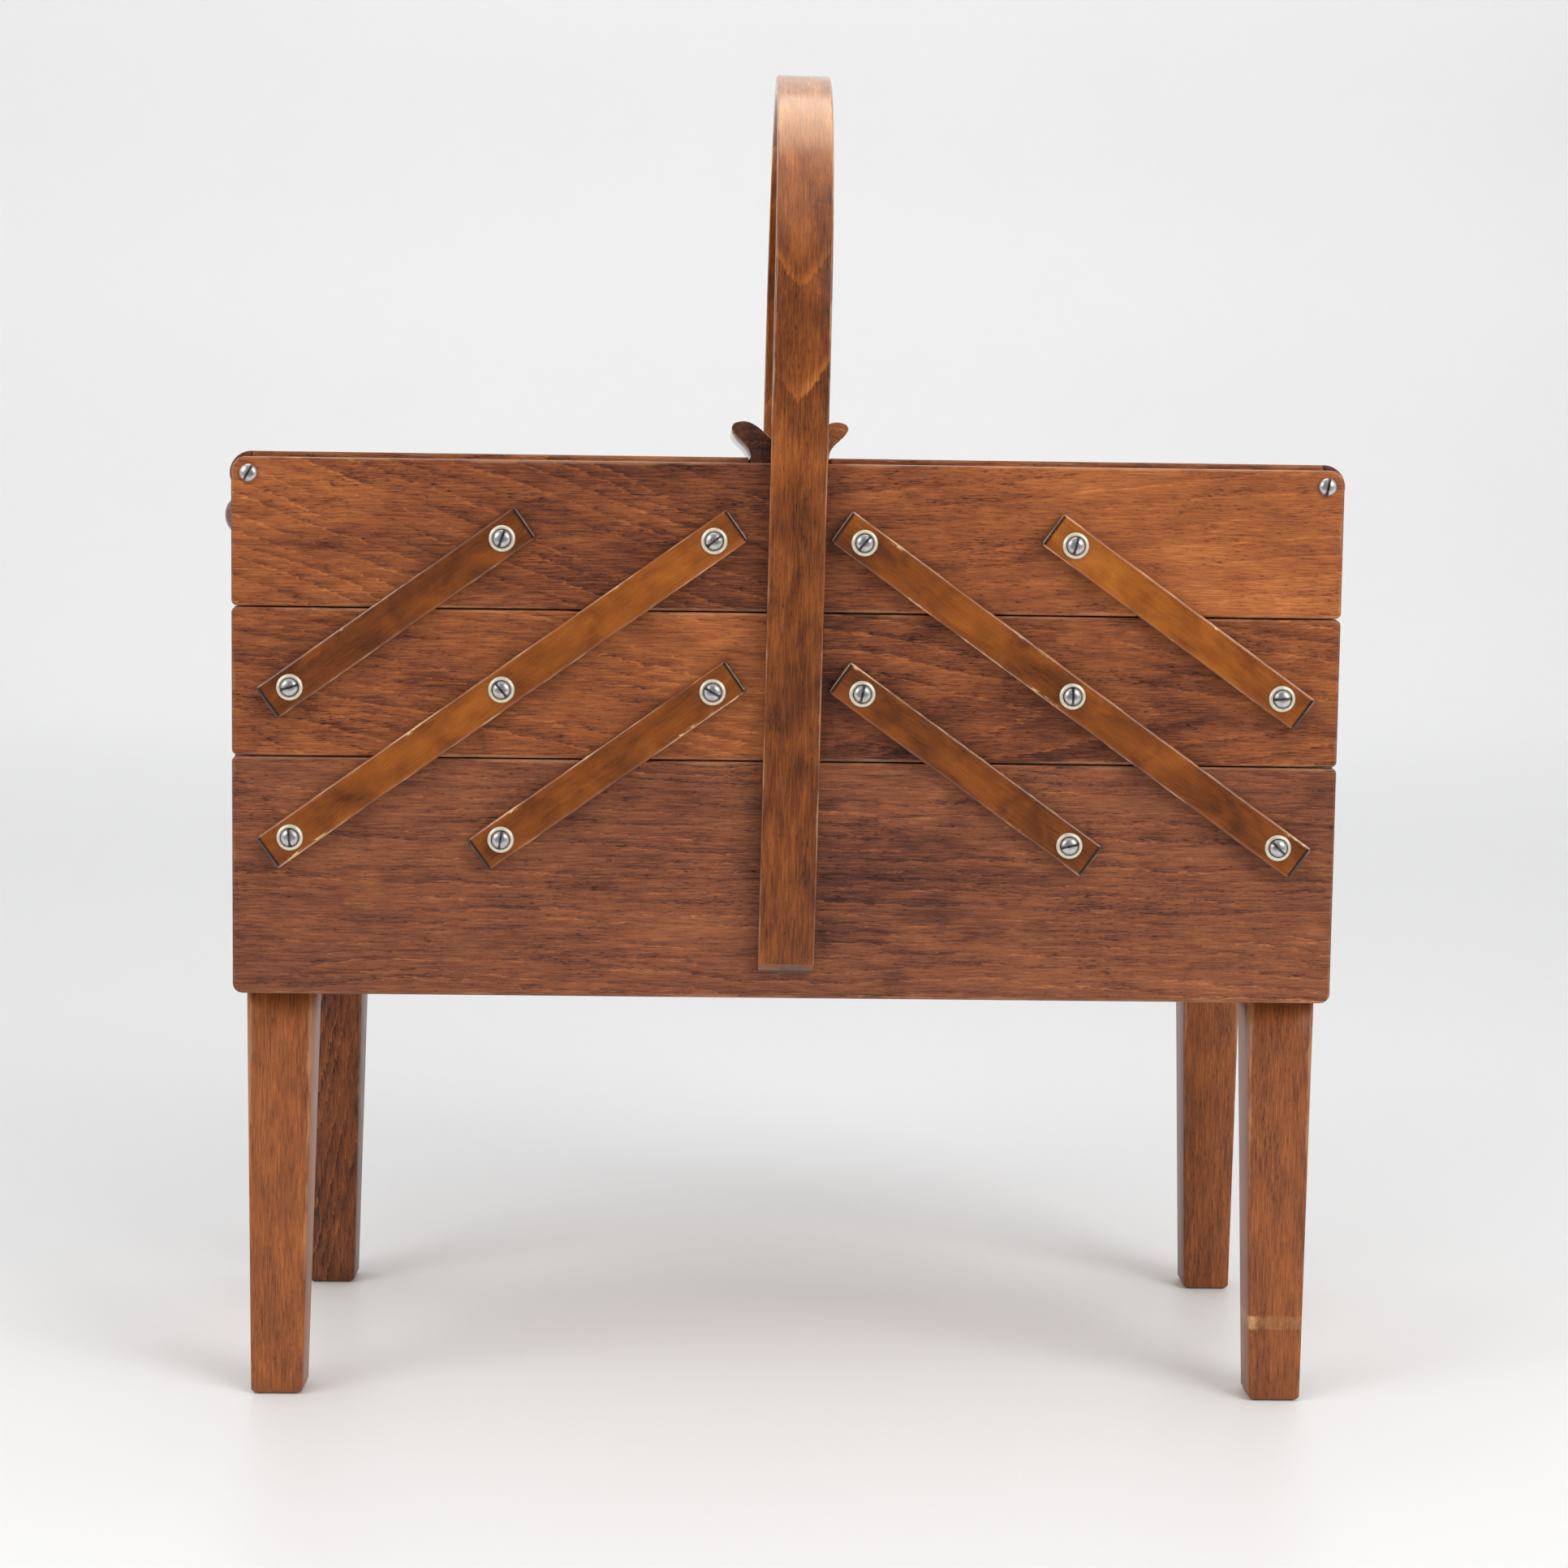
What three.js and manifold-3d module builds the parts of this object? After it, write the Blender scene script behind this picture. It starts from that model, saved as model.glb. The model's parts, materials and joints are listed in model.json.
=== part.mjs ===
// Cantilever sewing box: a deep bottom box on four legs, two pairs of trays that swing apart on
// parallel arms, two lids on the top trays and a bent wooden hoop handle over the middle.
// Millimetres. X runs along the box, -Y is the front, +Z is up. The origin is on the floor, in the
// middle of the box.
import * as THREE from 'three';
import { mergeVertices } from 'three/addons/utils/BufferGeometryUtils.js';
import Module from 'manifold-3d';

// ---- driving dimensions ------------------------------------------------------------------------
const BOX_WIDTH = 440;
const BOX_DEPTH = 232;
const LEG_HEIGHT = 168.5;
const BASE_HEIGHT = 95;
const TRAY_HEIGHT = 58.7;
const TIER_GAP = 0.5;
const SPLIT_GAP = 0.8;
const BOARD = 8;
const ARRIS = 0.9;
const CORNER = 3;
const LID_CORNER = 6.5;

const BASE_BOTTOM = 6;
const TRAY_BOTTOM = 4;
const GROOVE_DEPTH = 3;
const GROOVE_LIFT = 2;
const GLUE_GAP = 0.3;

const PIVOT_INSET = 23.8;
const PIVOT_RUN = 83.3;
const PIVOT_RISE = 59.5;
const FIRST_PIVOT_Z = 232;
const SWING_GAP = 0.4;
const ARM_WIDTH = 15.2;
const ARM_THICKNESS = 5.5;
const ARM_OVERHANG = 11.5;

const SHANK_RADIUS = 2.15;
const HOLE_RADIUS = 2.25;
const PILOT_DEPTH = 6;
const CUP_RADIUS = 5.3;
const HEAD_RADIUS = 3.4;
const SLOT_WIDTH = 0.9;

const LEG_TOP = 27;
const LEG_INSET_X = 3.5;
const LEG_INSET_Y = 14.2;
const LEG_INNER_TAPER = 5;
const LEG_OUTER_TAPER = 1;
const LEG_CHAMFER = 1.6;
const TENON_RADIUS = 6;

const HOOP_WIDTH = 22.5;
const HOOP_THICKNESS = 7;
const HOOP_FOOT_Z = 179.5;
const HOOP_FOOT_BEVEL = 4;
const HOOP_TOP_Z = 546.5;
const HOOP_LEAN = 0.75;
const HOOP_SHIFT = 0.8;
const HOOP_STEPS = 36;
const PEG_RADIUS = 3;
const PEG_HEIGHTS = [200, 236];

const LID_PIVOT_INSET = 7;
const LID_PIVOT_DROP = 6.5;
const LID_NOSE = 8.7;
const LID_THICKNESS = 5;
const LID_SIDE_GAP = 0.5;
const BATTEN_REACH = 14;
const BATTEN_DROP = 7.4;
const PULL_FOOT = 15.6;
const PULL_SIDE = 0.5;

const KNOB_DROP = 24.2;

// ---- heights and positions that follow from them -----------------------------------------------
const halfWidth = BOX_WIDTH / 2;
const halfDepth = BOX_DEPTH / 2;
const baseTop = LEG_HEIGHT + BASE_HEIGHT;
const middleFloor = baseTop + TIER_GAP;
const topFloor = middleFloor + TRAY_HEIGHT + TIER_GAP;
const trayWidth = halfWidth - SPLIT_GAP / 2;
const topTrayRim = topFloor + TRAY_HEIGHT;
const lidPivotX = halfWidth - LID_PIVOT_INSET;
const lidPivotZ = topTrayRim - LID_PIVOT_DROP;
const lidTop = lidPivotZ + LID_NOSE;
const lidUnder = lidTop - LID_THICKNESS;
const outerEndTop = lidPivotZ - LID_NOSE - SWING_GAP;
const innerEndTop = lidUnder - SWING_GAP;
const armInner = halfDepth + SWING_GAP;
const armOuter = armInner + ARM_THICKNESS;
const pivotX = [0, 1, 2].map((column) => halfWidth - PIVOT_INSET - column * PIVOT_RUN);
const pivotZ = [0, 1, 2].map((row) => FIRST_PIVOT_Z + row * PIVOT_RISE);

// Every arm runs up and inwards over one or two tiers. A stop is [column, row]: column 0 is the
// outermost line of pivots and row 0 is the bottom box.
const ARMS = {
  long: { base: [0, 0], middle: [1, 1], top: [2, 2] },
  upper: { middle: [0, 1], top: [1, 2] },
  lower: { base: [1, 0], middle: [2, 1] },
};

// Resting angle of each screw slot, in degrees from level, as left by the screwdriver.
const SLOT_ANGLES = {
  left: { long: [95, -50, 38], upper: [17, 70], lower: [80, -30] },
  right: { long: [-45, 90, 50], upper: [5, 75], lower: [12, 78] },
};
const LID_SLOT_ANGLES = { left: 60, right: 80 };
const BACK_SLOT_TURN = 28;

const COLOURS = {
  board: { color: 0x8a4e2c, roughness: 0.42 },
  base: { color: 0x7a4428, roughness: 0.42 },
  panel: { color: 0xb08358, roughness: 0.6 },
  arm: { color: 0x8c4f1c, roughness: 0.35 },
  hoop: { color: 0x86491f, roughness: 0.35 },
  leg: { color: 0x7d4526, roughness: 0.42 },
  metal: { color: 0xc9c6bd, roughness: 0.28, metalness: 0.95 },
};

// ---- solids ------------------------------------------------------------------------------------
const wasm = await Module();
wasm.setup();

function toSolid(geometry) {
  const bare = new THREE.BufferGeometry();
  bare.setAttribute('position', geometry.getAttribute('position'));
  bare.setIndex(geometry.getIndex());
  const merged = mergeVertices(bare, 1e-4);
  return new wasm.Manifold(
    new wasm.Mesh({
      numProp: 3,
      vertProperties: new Float32Array(merged.getAttribute('position').array),
      triVerts: new Uint32Array(merged.getIndex().array),
    }),
  );
}

function toGeometry(solid) {
  const mesh = solid.getMesh();
  const indexed = new THREE.BufferGeometry();
  indexed.setAttribute('position', new THREE.BufferAttribute(new Float32Array(mesh.vertProperties), 3));
  indexed.setIndex(new THREE.BufferAttribute(new Uint32Array(mesh.triVerts), 1));
  const faceted = indexed.toNonIndexed();
  faceted.computeVertexNormals();
  return faceted;
}

function join(solids) {
  return solids.reduce((whole, piece) => whole.add(piece));
}

function cut(solid, tools) {
  return tools.reduce((left, tool) => left.subtract(tool), solid);
}

function box(x0, x1, y0, y1, z0, z1) {
  const geometry = new THREE.BoxGeometry(x1 - x0, y1 - y0, z1 - z0);
  geometry.translate((x0 + x1) / 2, (y0 + y1) / 2, (z0 + z1) / 2);
  return toSolid(geometry);
}

// Round bar along Y between two depths.
function barAlongY(radius, x, z, y0, y1, segments = 16) {
  const geometry = new THREE.CylinderGeometry(radius, radius, y1 - y0, segments);
  geometry.translate(x, (y0 + y1) / 2, z);
  return toSolid(geometry);
}

// Flat outline drawn in X and Z, given thickness along Y from y0 to y1, with chamfered arrises.
function plateInXZ(shape, y0, y1, arris, curveSegments = 4) {
  const geometry = new THREE.ExtrudeGeometry(shape, {
    depth: y1 - y0 - 2 * arris,
    bevelEnabled: arris > 0,
    bevelThickness: arris,
    bevelSize: arris,
    bevelOffset: -arris,
    bevelSegments: 1,
    curveSegments,
  });
  geometry.rotateX(Math.PI / 2);
  geometry.translate(0, y1 - arris, 0);
  return toSolid(geometry);
}

// Rectangle with its own radius at each corner: lower left, lower right, upper right, upper left.
function roundedRectangle(x0, x1, z0, z1, [lowerLeft, lowerRight, upperRight, upperLeft]) {
  const shape = new THREE.Shape();
  shape.moveTo(x0 + lowerLeft, z0);
  shape.lineTo(x1 - lowerRight, z0);
  shape.absarc(x1 - lowerRight, z0 + lowerRight, lowerRight, -Math.PI / 2, 0, false);
  shape.lineTo(x1, z1 - upperRight);
  shape.absarc(x1 - upperRight, z1 - upperRight, upperRight, 0, Math.PI / 2, false);
  shape.lineTo(x0 + upperLeft, z1);
  shape.absarc(x0 + upperLeft, z1 - upperLeft, upperLeft, Math.PI / 2, Math.PI, false);
  shape.lineTo(x0, z0 + lowerLeft);
  shape.absarc(x0 + lowerLeft, z0 + lowerLeft, lowerLeft, Math.PI, 1.5 * Math.PI, false);
  return shape;
}

// ---- boxes and trays ---------------------------------------------------------------------------
// Board that runs along X on the front (side -1) or the back (side 1).
function longBoard(side, x0, x1, z0, z1, corners) {
  const near = Math.min(side * halfDepth, side * (halfDepth - BOARD));
  return plateInXZ(roundedRectangle(x0, x1, z0, z1, corners), near, near + BOARD, ARRIS);
}

// Board that closes one end between the long boards. It reaches a little into them, as glued.
function endBoard(x0, z0, z1) {
  const reach = halfDepth - BOARD / 2;
  return box(x0, x0 + BOARD, -reach, reach, z0, z1);
}

function pilotHole(x, z, side) {
  const outer = side * (halfDepth + 1);
  const inner = side * (halfDepth - PILOT_DEPTH);
  return barAlongY(HOLE_RADIUS, x, z, Math.min(outer, inner), Math.max(outer, inner));
}

function pilotHoles(row, columns, sign) {
  return columns.flatMap((column) =>
    [-1, 1].map((side) => pilotHole(sign * pivotX[column], pivotZ[row], side)),
  );
}

function baseBox() {
  const corners = [CORNER + 1, CORNER + 1, CORNER, CORNER];
  const boards = [-1, 1].map((side) =>
    longBoard(side, -halfWidth, halfWidth, LEG_HEIGHT, baseTop, corners),
  );
  const ends = [-halfWidth, halfWidth - BOARD].map((x) => endBoard(x, LEG_HEIGHT, baseTop));
  const floor = box(
    -halfWidth + BOARD / 2,
    halfWidth - BOARD / 2,
    -halfDepth + BOARD / 2,
    halfDepth - BOARD / 2,
    LEG_HEIGHT,
    LEG_HEIGHT + BASE_BOTTOM,
  );
  const pegHoles = [-1, 1].flatMap((side) => PEG_HEIGHTS.map((z) => pegHole(side, z)));
  const tenonHoles = legCentres().map(({ x, y }) => {
    const geometry = new THREE.CylinderGeometry(
      TENON_RADIUS + GLUE_GAP,
      TENON_RADIUS + GLUE_GAP,
      4 * BASE_BOTTOM,
      24,
    );
    geometry.rotateX(Math.PI / 2);
    geometry.translate(x, y, LEG_HEIGHT);
    return toSolid(geometry);
  });
  const pivots = [-1, 1].flatMap((sign) => pilotHoles(0, [0, 1], sign));
  return cut(join([...boards, ...ends, floor]), [...pegHoles, ...tenonHoles, ...pivots]);
}

// Glued frame of a tray on one side. sign is -1 for the left tray and 1 for the right one.
function trayFrame(sign, z0, { outerTop, innerTop, outerCorner, row, columns }) {
  const z1 = z0 + TRAY_HEIGHT;
  const outer = sign * halfWidth;
  const inner = (sign * SPLIT_GAP) / 2;
  const [x0, x1] = [Math.min(outer, inner), Math.max(outer, inner)];
  const leftCorners = sign < 0 ? [CORNER, outerCorner] : [CORNER, CORNER];
  const rightCorners = sign < 0 ? [CORNER, CORNER] : [CORNER, outerCorner];
  const corners = [leftCorners[0], rightCorners[0], rightCorners[1], leftCorners[1]];
  const boards = [-1, 1].map((side) => longBoard(side, x0, x1, z0, z1, corners));
  const outerEnd = endBoard(Math.min(outer, outer - sign * BOARD), z0, outerTop);
  const innerEnd = endBoard(Math.min(inner, inner + sign * BOARD), z0, innerTop);
  const groove = box(
    x0 + BOARD - GROOVE_DEPTH,
    x1 - BOARD + GROOVE_DEPTH,
    -halfDepth + BOARD - GROOVE_DEPTH,
    halfDepth - BOARD + GROOVE_DEPTH,
    z0 + GROOVE_LIFT - GLUE_GAP / 2,
    z0 + GROOVE_LIFT + TRAY_BOTTOM + GLUE_GAP / 2,
  );
  return cut(join([...boards, outerEnd, innerEnd]), [groove, ...pilotHoles(row, columns, sign)]);
}

function middleTray(sign) {
  const rim = middleFloor + TRAY_HEIGHT;
  return trayFrame(sign, middleFloor, {
    outerTop: rim,
    innerTop: rim,
    outerCorner: CORNER,
    row: 1,
    columns: [0, 1, 2],
  });
}

// The top tray's ends stop lower than its sides: the lid's nose and pull sit on top of them.
function topTray(sign) {
  const frame = trayFrame(sign, topFloor, {
    outerTop: outerEndTop,
    innerTop: innerEndTop,
    outerCorner: LID_CORNER,
    row: 2,
    columns: [1, 2],
  });
  const screwHoles = [-1, 1].map((side) =>
    barAlongY(
      HOLE_RADIUS,
      sign * lidPivotX,
      lidPivotZ,
      Math.min(side * (halfDepth - BOARD - 1), side * (halfDepth + 1)),
      Math.max(side * (halfDepth - BOARD - 1), side * (halfDepth + 1)),
    ),
  );
  return cut(frame, [...screwHoles, knobBar(sign, PEG_RADIUS + GLUE_GAP, -BOARD + 2, 1)]);
}

function trayPanel(sign, z0) {
  const outer = sign * (halfWidth - BOARD + GROOVE_DEPTH - GLUE_GAP);
  const inner = sign * (SPLIT_GAP / 2 + BOARD - GROOVE_DEPTH + GLUE_GAP);
  const reach = halfDepth - BOARD + GROOVE_DEPTH - GLUE_GAP;
  return box(
    Math.min(outer, inner),
    Math.max(outer, inner),
    -reach,
    reach,
    z0 + GROOVE_LIFT,
    z0 + GROOVE_LIFT + TRAY_BOTTOM,
  );
}

// ---- lids --------------------------------------------------------------------------------------
// Plywood lid with a round-nosed batten under its outer end and the two screws it turns on.
function lid(sign) {
  const reach = halfDepth - BOARD - LID_SIDE_GAP;
  const outline = new THREE.Shape();
  outline.moveTo(sign * (PULL_FOOT + SPLIT_GAP), lidUnder);
  outline.lineTo(sign * (PULL_FOOT + SPLIT_GAP), lidTop);
  outline.lineTo(sign * lidPivotX, lidTop);
  const steps = 12;
  for (let step = 1; step <= steps; step += 1) {
    const angle = Math.PI / 2 - (Math.PI * step) / steps;
    outline.lineTo(
      sign * (lidPivotX + LID_NOSE * Math.cos(angle)),
      lidPivotZ + LID_NOSE * Math.sin(angle),
    );
  }
  outline.lineTo(sign * (lidPivotX - BATTEN_REACH), lidPivotZ - BATTEN_DROP);
  outline.lineTo(sign * (lidPivotX - BATTEN_REACH), lidUnder);
  const body = plateInXZ(outline, -reach, reach, 0.5);
  return join([body, ...[-1, 1].map((side) => lidScrew(sign, side))]);
}

function lidScrew(sign, side) {
  const seat = halfDepth + 0.2;
  const profile = [
    [0, halfDepth - BOARD - LID_SIDE_GAP - 3],
    [SHANK_RADIUS, halfDepth - BOARD - LID_SIDE_GAP - 3],
    [SHANK_RADIUS, seat],
    [HEAD_RADIUS + 0.2, seat],
    [HEAD_RADIUS, seat + 0.8],
    [2.2, seat + 1.9],
    [0, seat + 2.3],
  ];
  const angle = LID_SLOT_ANGLES[sign < 0 ? 'left' : 'right'];
  return slottedScrew(profile, seat + 1.3, slotTurn(angle, side), side, sign * lidPivotX, lidPivotZ);
}

// Section of the pull on a lid's inner edge, from the split line outwards: a hollow slope up to a
// rounded lip that overhangs the lid, so that fingers hook under it.
function lidPull(sign) {
  const crest = [
    [PULL_SIDE, 1.6],
    [2.6, 2.9],
    [5.3, 5.3],
    [8.4, 8.5],
    [12.6, 12],
    [15.4, 13.6],
    [17.9, 14.3],
    [20.4, 14.1],
    [22.4, 13.3],
    [23.2, 11.7],
    [22.9, 10],
    [21.9, 8.6],
    [19.7, 6.9],
    [17.9, 5.3],
    [16.5, 3.5],
    [15.7, 1.4],
    [PULL_FOOT, 0],
  ].map(([out, up]) => new THREE.Vector2(sign * out, lidTop + up));
  const outline = new THREE.Shape();
  outline.moveTo(sign * PULL_SIDE, lidUnder);
  new THREE.SplineCurve(crest).getPoints(34).forEach(({ x, y }) => outline.lineTo(x, y));
  outline.lineTo(sign * PULL_FOOT, lidUnder);
  const reach = halfDepth - BOARD - LID_SIDE_GAP;
  return plateInXZ(outline, -reach, reach, 0.5);
}

// ---- knobs, legs and hoop ----------------------------------------------------------------------
// Bar along X through a top tray's knob axis, from one distance outside the end board to another.
function knobBar(sign, radius, from, to) {
  const geometry = new THREE.CylinderGeometry(radius, radius, to - from, 18);
  geometry.rotateZ(-Math.PI / 2);
  geometry.translate(sign * (halfWidth + (from + to) / 2), 0, topTrayRim - KNOB_DROP);
  return toSolid(geometry);
}

function knob(sign) {
  const profile = [
    [0, -BOARD + 2.5],
    [PEG_RADIUS, -BOARD + 2.5],
    [PEG_RADIUS, 0.3],
    [5.4, 0.3],
    [4.9, 2.4],
    [5.7, 5],
    [8, 7.8],
    [8.9, 11.2],
    [8.3, 14.8],
    [6.7, 17.7],
    [3.1, 20],
    [0, 20.4],
  ].map(([radius, out]) => new THREE.Vector2(radius, out));
  const geometry = new THREE.LatheGeometry(profile, 22);
  geometry.rotateZ(-Math.PI / 2);
  if (sign < 0) {
    geometry.rotateY(Math.PI);
  }
  geometry.translate(sign * halfWidth, 0, topTrayRim - KNOB_DROP);
  return toSolid(geometry);
}

function legCentres() {
  const x = halfWidth - LEG_INSET_X - LEG_TOP / 2;
  const y = halfDepth - LEG_INSET_Y - LEG_TOP / 2;
  return [-1, 1].flatMap((sideX) => [-1, 1].map((sideY) => ({ sideX, sideY, x: sideX * x, y: sideY * y })));
}

// Square leg with eased edges. Its two inner faces taper to the foot; the outer ones hardly do.
function leg({ sideX, sideY, x, y }) {
  const half = LEG_TOP / 2;
  const outline = new THREE.Shape();
  outline.moveTo(half - LEG_CHAMFER, -half);
  [
    [half, -half + LEG_CHAMFER],
    [half, half - LEG_CHAMFER],
    [half - LEG_CHAMFER, half],
    [-half + LEG_CHAMFER, half],
    [-half, half - LEG_CHAMFER],
    [-half, -half + LEG_CHAMFER],
    [-half + LEG_CHAMFER, -half],
  ].forEach(([px, py]) => outline.lineTo(px, py));
  const length = LEG_HEIGHT - GLUE_GAP;
  const geometry = new THREE.ExtrudeGeometry(outline, {
    depth: length - 2 * LEG_CHAMFER,
    bevelThickness: LEG_CHAMFER,
    bevelSize: LEG_CHAMFER,
    bevelOffset: -LEG_CHAMFER,
    bevelSegments: 1,
  });
  geometry.translate(0, 0, LEG_CHAMFER);
  const position = geometry.getAttribute('position');
  const narrowing = (LEG_INNER_TAPER + LEG_OUTER_TAPER) / LEG_TOP;
  const drift = (LEG_INNER_TAPER - LEG_OUTER_TAPER) / 2;
  for (let index = 0; index < position.count; index += 1) {
    const down = 1 - position.getZ(index) / length;
    const scale = 1 - narrowing * down;
    position.setX(index, x + position.getX(index) * scale + sideX * drift * down);
    position.setY(index, y + position.getY(index) * scale + sideY * drift * down);
  }
  const tenonTop = LEG_HEIGHT + BASE_BOTTOM;
  const tenon = new THREE.CylinderGeometry(TENON_RADIUS, TENON_RADIUS, 2 * BASE_BOTTOM, 24);
  tenon.rotateX(Math.PI / 2);
  tenon.translate(x, y, tenonTop - BASE_BOTTOM);
  return join([toSolid(geometry), toSolid(tenon)]);
}

// The hoop stands a little right of the middle and leans to the right about its foot, and so do its
// pegs and their holes.
function leaned(solid) {
  return solid
    .translate([0, 0, -HOOP_FOOT_Z])
    .rotate([0, HOOP_LEAN, 0])
    .translate([HOOP_SHIFT, 0, HOOP_FOOT_Z]);
}

function pegHole(side, z) {
  const outer = side * (halfDepth + 1);
  const inner = side * (halfDepth - PILOT_DEPTH);
  return leaned(
    barAlongY(PEG_RADIUS + GLUE_GAP, 0, z, Math.min(outer, inner), Math.max(outer, inner)),
  );
}

// Bent strip: two straight sides and a half-round crown, held by pegs let into the bottom box.
function hoop() {
  const inside = armInner;
  const outside = inside + HOOP_THICKNESS;
  const springZ = HOOP_TOP_Z - outside;
  const outline = new THREE.Shape();
  outline.moveTo(outside - HOOP_FOOT_BEVEL, HOOP_FOOT_Z);
  outline.lineTo(outside, HOOP_FOOT_Z + HOOP_FOOT_BEVEL);
  outline.lineTo(outside, springZ);
  for (let step = 1; step < HOOP_STEPS; step += 1) {
    const angle = (Math.PI * step) / HOOP_STEPS;
    outline.lineTo(outside * Math.cos(angle), springZ + outside * Math.sin(angle));
  }
  outline.lineTo(-outside, springZ);
  outline.lineTo(-outside, HOOP_FOOT_Z + HOOP_FOOT_BEVEL);
  outline.lineTo(-outside + HOOP_FOOT_BEVEL, HOOP_FOOT_Z);
  outline.lineTo(-inside, HOOP_FOOT_Z);
  outline.lineTo(-inside, springZ);
  for (let step = 1; step < HOOP_STEPS; step += 1) {
    const angle = Math.PI - (Math.PI * step) / HOOP_STEPS;
    outline.lineTo(inside * Math.cos(angle), springZ + inside * Math.sin(angle));
  }
  outline.lineTo(inside, springZ);
  outline.lineTo(inside, HOOP_FOOT_Z);
  const geometry = new THREE.ExtrudeGeometry(outline, {
    depth: HOOP_WIDTH - 2 * ARRIS,
    bevelThickness: ARRIS,
    bevelSize: ARRIS,
    bevelOffset: -ARRIS,
    bevelSegments: 1,
  });
  geometry.rotateX(Math.PI / 2);
  geometry.rotateZ(Math.PI / 2);
  geometry.translate(-HOOP_WIDTH / 2 + ARRIS, 0, 0);
  const pegs = [-1, 1].flatMap((side) =>
    PEG_HEIGHTS.map((z) => {
      const outer = side * (inside + HOOP_THICKNESS / 2);
      const inner = side * (halfDepth - PILOT_DEPTH + 0.5);
      return barAlongY(PEG_RADIUS, 0, z, Math.min(outer, inner), Math.max(outer, inner));
    }),
  );
  return leaned(join([toSolid(geometry), ...pegs]));
}

// ---- arms and screws ---------------------------------------------------------------------------
function arm(sign, side, stops) {
  const points = Object.values(stops).map(([column, row]) => ({
    x: sign * pivotX[column],
    z: pivotZ[row],
  }));
  const first = points[0];
  const last = points[points.length - 1];
  const length = Math.hypot(last.x - first.x, last.z - first.z);
  const outline = roundedRectangle(
    -ARM_OVERHANG,
    length + ARM_OVERHANG,
    -ARM_WIDTH / 2,
    ARM_WIDTH / 2,
    [1, 1, 1, 1],
  );
  const near = Math.min(side * armInner, side * armOuter);
  const slope = Math.atan2(last.z - first.z, last.x - first.x);
  const bar = plateInXZ(outline, near, near + ARM_THICKNESS, ARRIS, 2)
    .rotate([0, -THREE.MathUtils.radToDeg(slope), 0])
    .translate([first.x, 0, first.z]);
  const holes = points.map(({ x, z }) => barAlongY(HOLE_RADIUS, x, z, near - 1, near + ARM_THICKNESS + 1));
  return cut(bar, holes);
}

// Turn of a slot about the screw's own axis, so that it reads the same way seen from its side.
function slotTurn(angle, side) {
  return side < 0 ? angle : -angle - BACK_SLOT_TURN;
}

// Turned screw on an axis along Y. The profile holds [radius, distance out from the middle].
function slottedScrew(profile, slotFloor, turn, side, x, z) {
  const geometry = new THREE.LatheGeometry(
    profile.map(([radius, out]) => new THREE.Vector2(radius, out)),
    16,
  );
  const slot = new THREE.BoxGeometry(2 * CUP_RADIUS, 4, SLOT_WIDTH);
  slot.translate(0, slotFloor + 2, 0);
  slot.rotateY(THREE.MathUtils.degToRad(turn));
  [geometry, slot].forEach((part) => {
    if (side < 0) {
      part.rotateX(Math.PI);
    }
    part.translate(x, 0, z);
  });
  return cut(toSolid(geometry), [toSolid(slot)]);
}

// Round-head screw with the cup washer under its head.
function pivotScrew(sign, side, [column, row], angle) {
  const seat = armOuter + 0.15;
  const profile = [
    [0, halfDepth - PILOT_DEPTH + 0.5],
    [SHANK_RADIUS, halfDepth - PILOT_DEPTH + 0.5],
    [SHANK_RADIUS, seat],
    [CUP_RADIUS, seat],
    [CUP_RADIUS, seat + 0.5],
    [CUP_RADIUS - 0.9, seat + 1.1],
    [HEAD_RADIUS + 0.1, seat + 0.8],
    [HEAD_RADIUS, seat + 1.4],
    [2.2, seat + 2.3],
    [0, seat + 2.7],
  ];
  return slottedScrew(
    profile,
    seat + 1.6,
    slotTurn(angle, side),
    side,
    sign * pivotX[column],
    pivotZ[row],
  );
}

// ---- the assembly ------------------------------------------------------------------------------
const sewingBox = new THREE.Group();
sewingBox.name = 'sewing_box';

function place(name, solid, finish) {
  const mesh = new THREE.Mesh(toGeometry(solid), new THREE.MeshStandardMaterial(finish));
  mesh.name = name;
  sewingBox.add(mesh);
}

place('base_box', baseBox(), COLOURS.base);
legCentres().forEach((corner) => {
  const name = `leg_${corner.sideY < 0 ? 'front' : 'back'}_${corner.sideX < 0 ? 'left' : 'right'}`;
  place(name, leg(corner), COLOURS.leg);
});
place('hoop_handle', hoop(), COLOURS.hoop);

[['left', -1], ['right', 1]].forEach(([hand, sign]) => {
  place(`${hand}_middle_tray`, middleTray(sign), COLOURS.board);
  place(`${hand}_middle_tray_bottom`, trayPanel(sign, middleFloor), COLOURS.panel);
  place(`${hand}_top_tray`, topTray(sign), COLOURS.board);
  place(`${hand}_top_tray_bottom`, trayPanel(sign, topFloor), COLOURS.panel);
  place(`${hand}_knob`, knob(sign), COLOURS.board);
  place(`${hand}_lid`, lid(sign), COLOURS.board);
  place(`${hand}_lid_pull`, lidPull(sign), COLOURS.board);
  [['front', -1], ['back', 1]].forEach(([face, side]) => {
    Object.entries(ARMS).forEach(([kind, stops]) => {
      place(`${hand}_${face}_${kind}_arm`, arm(sign, side, stops), COLOURS.arm);
      Object.entries(stops).forEach(([tier, stop], index) => {
        const angle = SLOT_ANGLES[hand][kind][index];
        place(
          `${hand}_${face}_${kind}_screw_${tier}`,
          pivotScrew(sign, side, stop, angle),
          COLOURS.metal,
        );
      });
    });
  });
});

export default sewingBox;
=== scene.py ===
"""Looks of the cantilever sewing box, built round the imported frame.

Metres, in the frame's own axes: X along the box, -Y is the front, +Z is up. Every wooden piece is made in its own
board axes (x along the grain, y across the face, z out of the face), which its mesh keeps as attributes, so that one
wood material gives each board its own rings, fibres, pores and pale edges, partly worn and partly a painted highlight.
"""

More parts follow.
